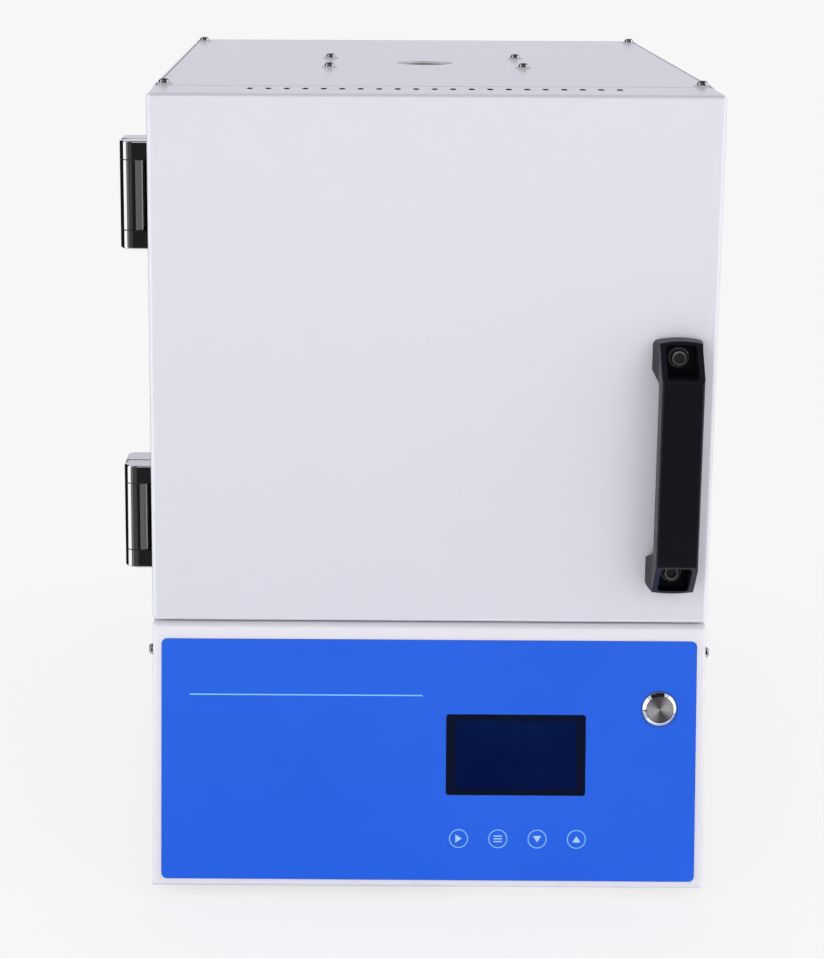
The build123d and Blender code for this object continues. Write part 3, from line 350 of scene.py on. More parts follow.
def mixed_colour(tree, factor, first, second):
    mix = tree.nodes.new("ShaderNodeMix")
    mix.data_type = "RGBA"
    return wired(tree, mix, {0: factor, 6: first, 7: second}, 2)


class Finish:
    """A Principled material with procedural detail on the object's own coordinates."""

    def __init__(self, name, colour, roughness, metallic=0.0, coat=0.0, coat_roughness=0.05, specular=0.5):
        self.material = bpy.data.materials.new(name)
        self.material.use_nodes = True
        self.tree = self.material.node_tree
        self.shader = self.tree.nodes["Principled BSDF"]
        self.colour = (*colour, 1)
        self.shade("Base Color", self.colour)
        self.shade("Roughness", roughness)
        self.shade("Metallic", metallic)
        self.shade("Coat Weight", coat)
        self.shade("Coat Roughness", coat_roughness)
        self.shade("Specular IOR Level", specular)
        coordinates = self.tree.nodes.new("ShaderNodeTexCoord")
        self.place = coordinates.outputs["Object"]
        self.facing = self.parts(coordinates.outputs["Normal"])
        self.normal = None

    def shade(self, socket, value):
        wired(self.tree, self.shader, {socket: value})

    def parts(self, vector):
        """X, Y and Z of a vector."""
        node = self.tree.nodes.new("ShaderNodeSeparateXYZ")
        wired(self.tree, node, {0: vector})
        return node.outputs

    def stretched(self, scale):
        """The object's coordinates, scaled by axis."""
        return added(self.tree, "ShaderNodeMapping", {"Vector": self.place, "Scale": scale})

    def noise(self, scale, detail, stretch=(1, 1, 1)):
        inputs = {"Vector": self.stretched(stretch), "Scale": scale, "Detail": detail}
        return added(self.tree, "ShaderNodeTexNoise", inputs, "Fac")

    def cells(self, scale, feature="F1", output="Distance", stretch=(1, 1, 1)):
        texture = self.tree.nodes.new("ShaderNodeTexVoronoi")
        texture.feature = feature
        return wired(self.tree, texture, {"Vector": self.stretched(stretch), "Scale": scale}, output)

    def rings(self, scale, distortion):
        """Fine rings round the object's own Z axis."""
        texture = self.tree.nodes.new("ShaderNodeTexWave")
        texture.wave_type = "RINGS"
        texture.rings_direction = "Z"
        inputs = {"Vector": self.place, "Scale": scale, "Distortion": distortion}
        return wired(self.tree, texture, inputs, "Fac")

    def maths(self, operation, first, second=0.0):
        return maths(self.tree, operation, first, second)

    def ranged(self, value, low, high, from_low=0.3, from_high=0.7):
        inputs = {"Value": value, "From Min": from_low, "From Max": from_high, "To Min": low, "To Max": high}
        return added(self.tree, "ShaderNodeMapRange", inputs, "Result")

    def vary_roughness(self, value, low, high):
        self.shade("Roughness", self.ranged(value, low, high))

    def vary_colour(self, value, other, low=0.3, high=0.7):
        """Runs from the finish's colour so far to another one as the value rises."""
        self.colour = mixed_colour(self.tree, self.ranged(value, 0, 1, low, high), self.colour, (*other, 1))
        self.shade("Base Color", self.colour)

    def bump(self, value, strength, depth):
        """Adds relief; depth is in metres."""
        inputs = {"Strength": strength, "Distance": depth, "Height": value}
        if self.normal:
            inputs["Normal"] = self.normal
        self.normal = added(self.tree, "ShaderNodeBump", inputs)
        self.shade("Normal", self.normal)

    def patches(self, scale, detail, low, high):
        """Roughness that wanders between two values."""
        self.vary_roughness(self.noise(scale, detail), low, high)

    def grain(self, scale, detail, strength, depth):
        """Random relief; depth is in metres."""
        self.bump(self.noise(scale, detail), strength, depth)


# --- Materials ---


FAN_TURN = 0.25  # how far the painted highlight fans on the button are turned, in radians


def white_enamel(name, colour, painted_bend_shade):
    """Gloss powder coat with a faint orange peel, with painted shade on its top front bends and painted light
    on its bottom and side bends.
    """
    look = Finish(name, colour, 0.24, coat=0.2, coat_roughness=0.1)
    mottle = look.maths("MULTIPLY", look.noise(5, 1), 0.06)
    roll = look.maths("MULTIPLY", look.facing["Z"], look.facing["Y"])
    upper = look.maths("SUBTRACT", mottle, roll)  # high where the sheet faces front and up: the mask of the painted shade on the top front bend
    lower = look.maths("ADD", mottle, roll)  # high where it faces front and down: the mask of the painted light on the bottom bends
    look.vary_colour(upper, painted_bend_shade, 0.26, 0.52)
    look.vary_colour(lower, (0.74, 0.74, 0.81), 0.14, 0.4)
    # painted highlight on the side bends, where the sheet faces front and sideways
    side = look.maths("ABSOLUTE", look.maths("MULTIPLY", look.facing["X"], look.facing["Y"]))
    look.vary_colour(look.maths("ADD", mottle, side), (0.86, 0.86, 0.93), 0.12, 0.42)
    look.patches(14, 2, 0.22, 0.26)
    look.grain(420, 1, 0.06, 0.02 * MM)
    return look.material


def zinc_plate():
    """Galvanised sheet with its spangle."""
    look = Finish("zinc_plate", (0.56, 0.57, 0.59), 0.38, metallic=0.7)
    grains = look.cells(110, output="Color")
    look.vary_colour(grains, (0.68, 0.69, 0.71), 0.1, 0.9)
    look.vary_roughness(grains, 0.3, 0.46)
    look.grain(900, 3, 0.1, 0.02 * MM)
    return look.material


def stainless():
    """Sheet brushed from side to side, with faint heat staining."""
    look = Finish("stainless", (0.60, 0.585, 0.57), 0.32, metallic=0.7)
    grain = look.noise(30, 4, stretch=(1, 90, 90))
    look.vary_colour(look.noise(7, 3), (0.54, 0.51, 0.47))
    look.vary_roughness(grain, 0.24, 0.4)
    look.bump(grain, 0.12, 0.01 * MM)
    return look.material


def chrome(name, colour, painted_right_tone):
    """Polished plate whose colour runs to a second tone where it faces right, a painted reflection: on the
    hinges it is dark, for the door side in shade that they mirror.
    """
    look = Finish(name, colour, 0.06, metallic=1.0)
    look.vary_colour(look.facing["X"], painted_right_tone, 0.02, 0.22)
    look.patches(120, 4, 0.035, 0.10)
    look.grain(260, 3, 0.05, 0.01 * MM)
    return look.material


def screw_steel():
    look = Finish("screw_steel", (0.55, 0.55, 0.56), 0.10, metallic=1.0)
    look.patches(700, 3, 0.06, 0.16)
    look.grain(2200, 2, 0.1, 0.005 * MM)
    return look.material


def dull_steel(name, colour, metallic):
    """Steel of the screws' dark-painted crowns and recesses, painted highlight rims and washers, which show
    by plain light more than by reflections.
    """
    look = Finish(name, colour, 0.25, metallic=metallic)
    look.patches(700, 3, 0.18, 0.3)
    look.grain(2200, 2, 0.1, 0.005 * MM)
    return look.material


def handle_black():
    """Moulded nylon with a fine grain and a soft sheen."""
    look = Finish("handle_black", (0.0045, 0.004, 0.009), 0.42, specular=0.38)
    look.patches(90, 3, 0.38, 0.46)
    look.grain(2600, 2, 0.2, 0.03 * MM)
    return look.material


def overlay_blue():
    """Back-printed polycarbonate with a fine satin texture."""
    look = Finish("overlay_blue", (0.003, 0.104, 0.735), 0.4, specular=0.26)
    look.vary_colour(look.noise(12, 2), (0.004, 0.110, 0.755))
    look.patches(300, 2, 0.32, 0.4)
    look.grain(3800, 2, 0.12, 0.01 * MM)
    return look.material


def overlay_edge():
    """Cut edge of the polycarbonate, darker than the print."""
    look = Finish("overlay_edge", (0.012, 0.06, 0.36), 0.2, coat=0.4)
    look.vary_colour(look.noise(500, 2), (0.02, 0.08, 0.44))
    look.grain(1500, 2, 0.15, 0.01 * MM)
    return look.material


def ink(name, colour, other):
    """Screen-printed ink with the overlay's own texture."""
    look = Finish(name, colour, 0.36)
    look.vary_colour(look.noise(1800, 3), other)
    look.grain(3800, 2, 0.12, 0.01 * MM)
    return look.material


def window_black():
    """Smoked acrylic over the display."""
    look = Finish("window_black", (0.0035, 0.0065, 0.022), 0.05, coat=0.6, coat_roughness=0.02)
    look.patches(45, 3, 0.04, 0.09)
    look.grain(35, 2, 0.04, 0.05 * MM)
    return look.material


def display_navy():
    """Unlit liquid-crystal area seen through the window."""
    look = Finish("display_navy", (0.0003, 0.0045, 0.050), 0.07, coat=0.6, coat_roughness=0.02)
    look.vary_colour(look.noise(22, 2), (0.0003, 0.0085, 0.062))
    look.patches(45, 3, 0.05, 0.1)
    return look.material


def black_plastic():
    look = Finish("black_plastic", (0.022, 0.022, 0.024), 0.5, specular=0.45)
    look.patches(140, 3, 0.43, 0.57)
    look.grain(1900, 2, 0.18, 0.03 * MM)
    return look.material


def board_green():
    """Solder mask over copper tracks."""
    look = Finish("board_green", (0.012, 0.12, 0.05), 0.3, coat=0.3)
    tracks = look.cells(190, feature="DISTANCE_TO_EDGE")
    look.vary_colour(tracks, (0.02, 0.19, 0.075), 0.02, 0.05)
    look.bump(tracks, 0.2, 0.03 * MM)
    return look.material


def module_grey():
    look = Finish("module_grey", (0.36, 0.37, 0.39), 0.42, metallic=0.7)
    grain = look.noise(40, 3, stretch=(60, 1, 60))
    look.vary_roughness(grain, 0.34, 0.5)
    look.bump(grain, 0.1, 0.01 * MM)
    return look.material


def heat_sink_aluminium():
    """Extruded aluminium with the die's lines along it."""
    look = Finish("heat_sink_aluminium", (0.60, 0.61, 0.63), 0.35, metallic=0.7)
    lines = look.noise(60, 3, stretch=(40, 0.5, 40))
    look.vary_colour(lines, (0.68, 0.69, 0.70))
    look.vary_roughness(lines, 0.27, 0.42)
    look.bump(lines, 0.15, 0.02 * MM)
    return look.material


def foot_rubber():
    look = Finish("foot_rubber", (0.016, 0.016, 0.017), 0.75, specular=0.3)
    look.vary_colour(look.noise(80, 3), (0.03, 0.03, 0.03))
    look.grain(900, 3, 0.3, 0.08 * MM)
    return look.material


def ceramic_fibre():
    """Vacuum-formed fibre board: chalky, with short crossing fibres."""
    look = Finish("ceramic_fibre", (0.80, 0.775, 0.72), 0.92, specular=0.2)
    along = look.noise(240, 4, stretch=(0.25, 1, 1.6))
    across = look.noise(240, 4, stretch=(1.6, 0.3, 1))
    look.vary_colour(look.noise(38, 5), (0.72, 0.685, 0.61))
    look.bump(along, 0.45, 0.25 * MM)
    look.bump(across, 0.4, 0.2 * MM)
    look.grain(1500, 3, 0.35, 0.12 * MM)
    return look.material


def seal_fibre():
    """Braided fibre rope of the door seal."""
    look = Finish("seal_fibre", (0.83, 0.82, 0.79), 0.9, specular=0.2)
    braid = look.cells(420, stretch=(1, 1, 1.6))
    look.vary_colour(braid, (0.62, 0.60, 0.56), 0.2, 0.7)
    look.bump(braid, 0.6, 0.4 * MM)
    look.grain(2400, 2, 0.3, 0.08 * MM)
    return look.material


def alumina():
    """Fired ceramic, slightly speckled."""
    look = Finish("alumina", (0.74, 0.70, 0.62), 0.6, specular=0.4)
    look.vary_colour(look.noise(420, 4), (0.66, 0.60, 0.50), 0.45, 0.75)
    look.patches(120, 3, 0.5, 0.7)
    look.grain(1100, 3, 0.25, 0.06 * MM)
    return look.material


def resistance_wire():
    """Oxidised heating wire."""
    look = Finish("resistance_wire", (0.20, 0.165, 0.14), 0.55, metallic=0.8)
    look.vary_colour(look.noise(160, 3), (0.11, 0.10, 0.10))
    look.patches(500, 2, 0.45, 0.7)
    look.grain(2500, 2, 0.2, 0.03 * MM)
    return look.material


def magnet():
    look = Finish("magnet", (0.45, 0.44, 0.42), 0.3, metallic=0.7)
    look.vary_colour(look.noise(200, 3), (0.38, 0.37, 0.36))
    look.patches(600, 2, 0.22, 0.4)
    look.grain(1500, 2, 0.12, 0.02 * MM)
    return look.material


def brushed_button():
    """Turned steel face: fine rings round the button's axis, and two light fans painted into its colour for
    the highlights that turned steel shows under light.
    """
    look = Finish("brushed_button", (0.075, 0.065, 0.07), 0.3, metallic=0.3)
    place = look.parts(look.place)
    angle = look.maths("ARCTAN2", place["Y"], place["X"])
    # painted highlights: two light fans in the colour, by angle round the axis
    painted_fans = look.maths("COSINE", look.maths("MULTIPLY", look.maths("SUBTRACT", angle, FAN_TURN), 2))
    rings = look.rings(1500, 0.2)
    tone = look.maths("ADD", painted_fans, look.maths("MULTIPLY", rings, 0.35))
    look.vary_colour(tone, (0.40, 0.385, 0.40), -0.7, 1.0)
    look.patches(900, 2, 0.24, 0.36)
    look.bump(rings, 0.15, 0.01 * MM)
    return look.material


slot_finishes = (
    white_enamel("white_enamel", (0.70, 0.70, 0.778), (0.53, 0.53, 0.59)),
    zinc_plate(),
    stainless(),
    chrome("chrome", (0.70, 0.70, 0.72), (0.26, 0.25, 0.235)),
    screw_steel(),
    handle_black(),
    overlay_blue(),
    window_black(),
    board_green(),
    module_grey(),
    black_plastic(),
    heat_sink_aluminium(),
    foot_rubber(),
    ceramic_fibre(),
    alumina(),
    resistance_wire(),
    magnet(),
)
finishes = {slot_name(material): material for material in slot_finishes}
# painted light: a lighter copy of the white enamel for the base sheets, for the extra light that falls on the
# raked base
lit_base_enamel = white_enamel("lit_base_enamel", (0.78, 0.77, 0.835), (0.65, 0.64, 0.70))
base_sheets = ("control_fascia", "base_top_deck", "base_left_side", "base_right_side", "base_rear_panel")
special_finishes = {"door_seal": seal_fibre(), **dict.fromkeys(base_sheets, lit_base_enamel)}
ring_ink = ink("ring_ink", (0.20, 0.52, 0.93), (0.25, 0.57, 0.98))
symbol_ink = ink("symbol_ink", (0.36, 0.57, 0.97), (0.44, 0.64, 1.0))
overlay_rim = overlay_edge()
lcd_navy = display_navy()
button_face_steel = brushed_button()
# painted reflection: the bezel's chrome is tinted blue for the blue-white light it mirrors
bezel_chrome = chrome("bezel_chrome", (0.80, 0.84, 0.92), (0.84, 0.87, 0.93))
painted_dark_crown_steel = dull_steel("painted_dark_crown_steel", (0.07, 0.07, 0.075), 1.0)
socket_steel = dull_steel("socket_steel", (0.055, 0.055, 0.058), 0.5)
rim_steel = dull_steel("rim_steel", (0.62, 0.62, 0.63), 0.15)
painted_rim_highlight = dull_steel("painted_rim_highlight", (0.36, 0.36, 0.37), 0.35)

for node_name, node in cad_nodes.items():
    for place in node.material_slots:
        place.material = special_finishes.get(node_name, finishes[slot_name(place.material)])


# --- Membrane front ---

FLAT_SHADING = 10  # degrees; keeps the flat faces true beside their rounded rims
FLAT_COSINE = 0.97  # above this a face of the overlay takes the print, below it the cut edge's finish
OVERLAY_EDGE = 0.3 * MM
PRINT_THICKNESS = 0.03 * MM
WINDOW_CORNER = 2 * MM
OVERLAY_CORNER = 4 * MM
HOLE_PLAY = 0.08 * MM
RULE_WIDTH = 168.5 * MM
RULE_HEIGHT = 0.9 * MM
RULE_LEFT = 20.5 * MM  # from the overlay's left edge
RULE_DROP = 40.5 * MM  # from the overlay's top edge
LCD_WIDTH = 88 * MM
LCD_HEIGHT = 50 * MM
LCD_CORNER = 0.6 * MM
RING_INNER = 6.2 * MM
RING_OUTER = 6.85 * MM
SYMBOL_WIDTH = 6.0 * MM
SYMBOL_HEIGHT = 4.6 * MM
BAR_WIDTH = 6.2 * MM
BAR_HEIGHT = 0.8 * MM
BAR_PITCH = 2.0 * MM

overlay_left, overlay_right = span("keypad_overlay", RIGHT)
overlay_foot, overlay_head = span("keypad_overlay", UP_SLOPE)
overlay_back, overlay_face = span("keypad_overlay", OUT)
window_width = 2 * half_width("display_window")
window_foot, window_head = span("display_window", UP_SLOPE)
window_middle = (middle("display_window", RIGHT), middle("display_window", UP_SLOPE))


def on_overlay(x, up):
    """Place on the overlay measured from its lower left corner."""
    return (x - overlay_left, up - overlay_foot)


def overlay():
    """Die-cut membrane with its window and key holes and a clear, softly rounded edge."""
    width = overlay_right - overlay_left
    height = overlay_head - overlay_foot
    window_size = (window_width + 2 * HOLE_PLAY, window_head - window_foot + 2 * HOLE_PLAY)
    outlines = [
        rounded_outline(width, height, OVERLAY_CORNER, (width / 2, height / 2)),
        rounded_outline(*window_size, WINDOW_CORNER, on_overlay(*window_middle)),
    ]
    for name in symbols:
        centre = on_overlay(middle(name, RIGHT), middle(name, UP_SLOPE))
        outlines.append(circle_outline(half_width(name) + HOLE_PLAY, centre))
    bm = bmesh.new()
    add_plate(bm, outlines, overlay_face - overlay_back, OVERLAY_EDGE)
    for face in bm.faces:
        face.material_index = 0 if abs(face.normal.z) > FLAT_COSINE else 1
    matrix = front_matrix(overlay_left, overlay_foot, overlay_back)
    mesh = finish_mesh(bm, "overlay_skin", FLAT_SHADING, matrix)
    looks = [finishes["overlay_blue"], overlay_rim]
    piece("overlay_skin", mesh, "cabinet", "overlay_blue", looks, ["keypad_overlay"])


def printed(name, plates, place, body, slot, print_ink):
    """Thin print at a place on the front, riding on a body."""
    bm = bmesh.new()
    for outlines in plates:
        add_plate(bm, outlines, PRINT_THICKNESS)
    piece(name, finish_mesh(bm, name, matrix=front_matrix(*place)), body, slot, [print_ink])


def triangle(direction):
    """Low triangle that points right (0), up (90) or down (-90)."""
    turn = math.radians(direction)
    along = Vector((math.cos(turn), math.sin(turn)))
    across = Vector((-math.sin(turn), math.cos(turn)))
    foot = -along * SYMBOL_HEIGHT / 2
    return [-foot, foot + across * SYMBOL_WIDTH / 2, foot - across * SYMBOL_WIDTH / 2]


def bars():
    """Three short bars, the usual symbol for settings."""
    rows = [(0, row * BAR_PITCH) for row in (-1, 0, 1)]
    return [[rounded_outline(BAR_WIDTH, BAR_HEIGHT, BAR_HEIGHT / 3, row, 3)] for row in rows]


symbols = {
    "key_run": [[triangle(0)]],
    "key_set": bars(),
    "key_down": [[triangle(-90)]],
    "key_up": [[triangle(90)]],
}


def key_prints():
    ring = [circle_outline(RING_OUTER), circle_outline(RING_INNER)]
    for name, symbol in symbols.items():
        place = (middle(name, RIGHT), middle(name, UP_SLOPE), span(name, OUT)[1])
        printed(f"{name}_ring", [ring], place, f"{name}_cap", "overlay_blue", ring_ink)
        printed(f"{name}_symbol", symbol, place, f"{name}_cap", "overlay_blue", symbol_ink)


def title_rule():
    rule = [rounded_outline(RULE_WIDTH, RULE_HEIGHT, RULE_HEIGHT / 3, steps=3)]
    place = (overlay_left + RULE_LEFT + RULE_WIDTH / 2, overlay_head - RULE_DROP, overlay_face)
    printed("title_rule", [rule], place, "cabinet", "overlay_blue", ring_ink)


def display():
    """Smoked window with a rounded edge and the liquid-crystal area that shows inside it."""
    back, face = span("display_window", OUT)
    window = rounded_outline(window_width, window_head - window_foot, WINDOW_CORNER)
    matrix = front_matrix(*window_middle, back)
    glass = plate("display_glass", [window], face - back, OVERLAY_EDGE, FLAT_SHADING, matrix)
    piece("display_glass", glass, "cabinet", "window_black", stands_for=["display_window"])
    area = [rounded_outline(LCD_WIDTH, LCD_HEIGHT, LCD_CORNER)]
    printed("display_area", [area], (*window_middle, face), "cabinet", "window_black", lcd_navy)


overlay()
key_prints()
title_rule()
display()


# --- Push button ---

ROUND_STEPS = 96
CAP_EDGE = 0.5 * MM
CAP_RING = 1.1 * MM  # width of the cap's raised outer ring
CAP_RING_DROP = 0.04 * MM
CAP_DISH = 0.09 * MM
BUTTON_PLAY = 0.1 * MM
BEZEL_LAND = 0.35 * MM  # flat ring next to the cap
BEZEL_RIM = 0.3 * MM
BEZEL_FOOT = 0.8 * MM  # height of the ring's outer wall
BARREL_RADIUS = 11 * MM
GASKET_REACH = 0.6 * MM  # to both sides of the bezel's rim
GASKET_HEIGHT = 0.3 * MM

cap_radius = half_width("power_button_cap")
bezel_radius = half_width("power_button_bezel")
button_up = middle("power_button_cap", UP_SLOPE)
bezel_x = middle("power_button_bezel", RIGHT)


def button_face():
    """Turned steel face of the push button, built round its own axis so that its rings are concentric."""
    back, top = span("power_button_cap", OUT)
    radius, edge = cap_radius, CAP_EDGE
    profile = [(0, back - top), (radius, back - top), (radius, -edge), (radius - edge * 0.3, -edge * 0.3)]
    profile += [(radius - edge, 0), (radius - CAP_RING, -CAP_RING_DROP), (0, -CAP_DISH)]
    mesh = lathed("button_face", profile, ROUND_STEPS, 50)
    made = piece("button_face", mesh, "power_button", "stainless", [button_face_steel], ["power_button_cap"])
    made.matrix_world = front_matrix(middle("power_button_cap", RIGHT), button_up, top)
    bpy.context.view_layer.update()


def bezel():
    """Polished conical ring round the button, with its barrel."""
    back, top = span("power_button_bezel", OUT)
    bore = cap_radius + BUTTON_PLAY
    seat = overlay_face - top
    profile = [(bore, 0), (bore + BEZEL_LAND, 0), (bezel_radius - BEZEL_RIM, seat + BEZEL_FOOT)]
    profile += [(bezel_radius, seat + BEZEL_FOOT / 2), (bezel_radius, seat), (BARREL_RADIUS, seat)]
    profile += [(BARREL_RADIUS, back - top), (bore, back - top), (bore, 0)]
    mesh = lathed("bezel_ring", profile, ROUND_STEPS, 30, front_matrix(bezel_x, button_up, top))
    piece("bezel_ring", mesh, "cabinet", "chrome", [bezel_chrome], ["power_button_bezel"])


def gasket():
    """Thin black ring that seals the bezel to the overlay; its black also paints the contact shadow round the
    bezel.
    """
    inner = bezel_radius - GASKET_REACH
    outer = bezel_radius + GASKET_REACH
    profile = [(inner, 0), (outer, 0), (outer, GASKET_HEIGHT / 2)]
    profile += [(bezel_radius, GASKET_HEIGHT), (inner, GASKET_HEIGHT), (inner, 0)]
    place = front_matrix(bezel_x, button_up, overlay_face)
    mesh = lathed("bezel_gasket", profile, ROUND_STEPS, matrix=place)
    piece("bezel_gasket", mesh, "cabinet", "foot_rubber")


button_face()
bezel()
gasket()


# --- Fasteners ---

HEAD_STEPS = 40
WASHER_STEPS = 48
THREAD_STEPS = 20
SCREW_SHADING = 38  # degrees
FIRST_TURN = 0.4  # of a screw about its own axis, in radians
TURN_STEP = 0.9  # from one screw to the next
HEAD_RADIUS = 4 * MM
HEAD_HEIGHT = 3.0 * MM
DOME_STEPS = 6
DOME_CROWN = 0.35  # radius from which the dome curves down, as a share of the head's
DOME_DROP = 0.72  # height of the dome, as a share of the head's
DARK_SHARE = 0.76  # of a pan head's radius, round its cross recess, painted dark as shade for the dark reflections on the dome
WASHER_RADIUS = 6 * MM
WASHER_THICKNESS = 0.8 * MM
FLAT_HEAD_RADIUS = 3.6 * MM
FLAT_HEAD_HEIGHT = 1.5 * MM
FLAT_HEAD_EDGE = 0.15 * MM
FLAT_HEAD_NECK = 0.55  # as a share of the head's radius
CAP_HEAD_RADIUS = 5 * MM
CAP_HEAD_HEIGHT = 4 * MM
CAP_HEAD_SOFT = 0.9 * MM
CAP_WASHER_RADIUS = 7 * MM
CAP_WASHER_THICKNESS = 1.2 * MM
SOCKET_SHARE = 1.15  # across the socket's corners, as a share of the head's radius
CROSS_SHARE = 0.62  # half a cross recess's reach, as a share of the head's radius
CROSS_WIDTH = 0.9 * MM
CROSS_DEPTH = 1.5 * MM
THREAD_PITCH = 0.7 * MM
THREAD_CORE = 0.86  # as a share of the thread's outer radius
THREAD_TIP = 0.7
SCREW_RADIUS = 2 * MM
SCREW_LENGTH = 8 * MM
HANDLE_SCREW_RADIUS = 3 * MM
HANDLE_SCREW_LENGTH = 16 * MM


def cross_tool(reach):
    """Two crossed blades that narrow towards the bottom, to cut a cross recess into a head's top at z = 0."""
    bm = bmesh.new()
    for turn in (0, math.pi / 2):
        blade = bmesh.ops.create_cube(bm, size=1)["verts"]
        for vertex in blade:
            deep = vertex.co.z < 0
            vertex.co.x *= reach * (0.5 if deep else 2)
            vertex.co.y *= CROSS_WIDTH * (0.7 if deep else 1)
            vertex.co.z = -CROSS_DEPTH if deep else CROSS_DEPTH
        bmesh.ops.rotate(bm, verts=blade, matrix=Matrix.Rotation(turn, 3, "Z"))
    return finish_mesh(bm, "cross_tool")


def hex_tool(across, depth):
    return lathed("hex_tool", [(0, -depth), (across / 2, -depth), (across / 2, depth), (0, depth)], 6)


def add_washer(bm, top, radius, thickness, bore):
    soft = thickness * 0.3
    foot = top - thickness
    profile = [(bore, top), (radius - soft, top), (radius, top - soft), (radius, foot + soft / 2)]
    profile += [(radius - soft / 2, foot), (bore, foot), (bore, top)]
    add_lathe(bm, profile, WASHER_STEPS)


def pan_head(washer):
    """Domed pan head, with or without a washer; its top is at z = 0."""
    profile = [(0, 0)]
    for step in range(1, DOME_STEPS + 1):
        turn = math.pi / 2 * step / DOME_STEPS
        radius = HEAD_RADIUS * (DOME_CROWN + (1 - DOME_CROWN) * math.sin(turn))
        profile.append((radius, -HEAD_HEIGHT * DOME_DROP * (1 - math.cos(turn))))
    profile += [(HEAD_RADIUS, -HEAD_HEIGHT), (0, -HEAD_HEIGHT)]
    bm = opened(carved(lathed("pan_head", profile, HEAD_STEPS), cross_tool(HEAD_RADIUS * CROSS_SHARE)))
    # painted shade: the middle of the dome, round the cross recess, takes the dark steel
    for face in bm.faces:
        face.material_index = 1 if face.calc_center_median().xy.length < HEAD_RADIUS * DARK_SHARE else 0
    if washer:
        head_faces = set(bm.faces)
        add_washer(bm, -HEAD_HEIGHT, WASHER_RADIUS, WASHER_THICKNESS, HEAD_RADIUS / 2)
        for face in set(bm.faces) - head_faces:
            face.material_index = 2
    return finish_mesh(bm, "pan_head")


def flat_head():
    """Countersunk head, flush with what it holds; its top is at z = 0."""
    radius, edge, height = FLAT_HEAD_RADIUS, FLAT_HEAD_EDGE, FLAT_HEAD_HEIGHT
    profile = [(0, 0), (radius - edge, 0), (radius, -edge), (radius * FLAT_HEAD_NECK, -height), (0, -height)]
    return carved(lathed("flat_head", profile, HEAD_STEPS), cross_tool(radius * CROSS_SHARE))


def cap_head():
    """Socket-head cap screw on a washer; its top is at z = 0. Its slanted faces take the second, lighter
    steel: a painted highlight.
    """
    radius, soft, height = CAP_HEAD_RADIUS, CAP_HEAD_SOFT, CAP_HEAD_HEIGHT
    profile = [(0, 0), (radius - soft, 0), (radius - soft * 0.3, -soft * 0.3)]
    profile += [(radius, -soft), (radius, -height), (0, -height)]
    socket = hex_tool(radius * SOCKET_SHARE, height / 2)
    bm = opened(carved(lathed("cap_head", profile, WASHER_STEPS), socket))
    add_washer(bm, -height, CAP_WASHER_RADIUS, CAP_WASHER_THICKNESS, radius * 0.6)
    bm.normal_update()
    # painted highlight: the slanted faces take the lighter steel
    for face in bm.faces:
        face.material_index = 1 if 0.1 < abs(face.normal.z) < 0.95 else 0
    return finish_mesh(bm, "cap_head")


def screw(head, radius, head_height, length):
    """Screw with a thread below its head."""
    top = -head_height
    profile = [(0, top)]
    for turn in range(int(length / THREAD_PITCH)):
        height = top - turn * THREAD_PITCH
        profile += [(radius * THREAD_CORE, height), (radius, height - THREAD_PITCH / 2)]
    profile += [(radius * THREAD_TIP, top - length), (0, top - length)]
    return finish_mesh(opened(head, lathed("thread", profile, THREAD_STEPS)), "screw")


def fasteners(node, body, steels, sideways, upright=None):
    """A turned screw at every fastener of a CAD node, each at a different angle about its own axis."""
    groups = {}
    for index, (top, outward) in enumerate(screw_tops(node)):
        template = upright if upright and outward.z > 0.5 else sideways
        groups.setdefault(template, []).append(standing(top, outward, FIRST_TURN + TURN_STEP * index))
    bm = opened(*(repeated(template, matrices, node) for template, matrices in groups.items()))
    name = f"{node}_turned"
    piece(name, finish_mesh(bm, name, SCREW_SHADING), body, "screw_steel", steels, [node])


plain_screw = screw(pan_head(False), SCREW_RADIUS, HEAD_HEIGHT, SCREW_LENGTH)
washer_screw = screw(pan_head(True), SCREW_RADIUS, HEAD_HEIGHT + WASHER_THICKNESS, SCREW_LENGTH)
flush_screw = screw(flat_head(), SCREW_RADIUS, FLAT_HEAD_HEIGHT, SCREW_LENGTH - FLAT_HEAD_HEIGHT)
cap_height = CAP_HEAD_HEIGHT + CAP_WASHER_THICKNESS
handle_screw = screw(cap_head(), HANDLE_SCREW_RADIUS, cap_height, HANDLE_SCREW_LENGTH)
screw_finishes = [finishes["screw_steel"], painted_dark_crown_steel, rim_steel]
fasteners("cabinet_screws", "cabinet", screw_finishes, plain_screw, washer_screw)
fasteners("base_screws", "cabinet", screw_finishes, plain_screw)
fasteners("door_screws", "door", screw_finishes, flush_screw)
fasteners("handle_screws", "door", [socket_steel, painted_rim_highlight], handle_screw)


# --- Hinge washers ---

HINGE_WASHER_RADIUS = 9.95 * MM
HINGE_WASHER_BORE = 3.15 * MM
HINGE_WASHER_THICKNESS = 0.46 * MM
HINGE_SEAM = 25.25 * MM  # from a hinge's middle to the seams between its knuckles


def hinge_washers():
    """Black nylon washers between the knuckles of both hinges; their black also paints the shade in the seams
    between the knuckles.
    """
    pin_x, pin_y, _ = joint("door_hinge")["pos_m"]
    inner, outer, half = HINGE_WASHER_BORE, HINGE_WASHER_RADIUS, HINGE_WASHER_THICKNESS / 2
    profile = [(inner, -half), (outer, -half), (outer, half), (inner, half), (inner, -half)]
    washer = lathed("washer", profile, WASHER_STEPS)
    places = []
    for node in ("upper_hinge_door_leaf", "lower_hinge_door_leaf"):
        for side in (-1, 1):
            height = middle(node, Vector((0, 0, 1))) + side * HINGE_SEAM
            places.append(Matrix.Translation((pin_x, pin_y, height)))
    piece("hinge_washers", repeated(washer, places, "hinge_washers"), "cabinet", "black_plastic")


hinge_washers()


# --- Heating coils ---

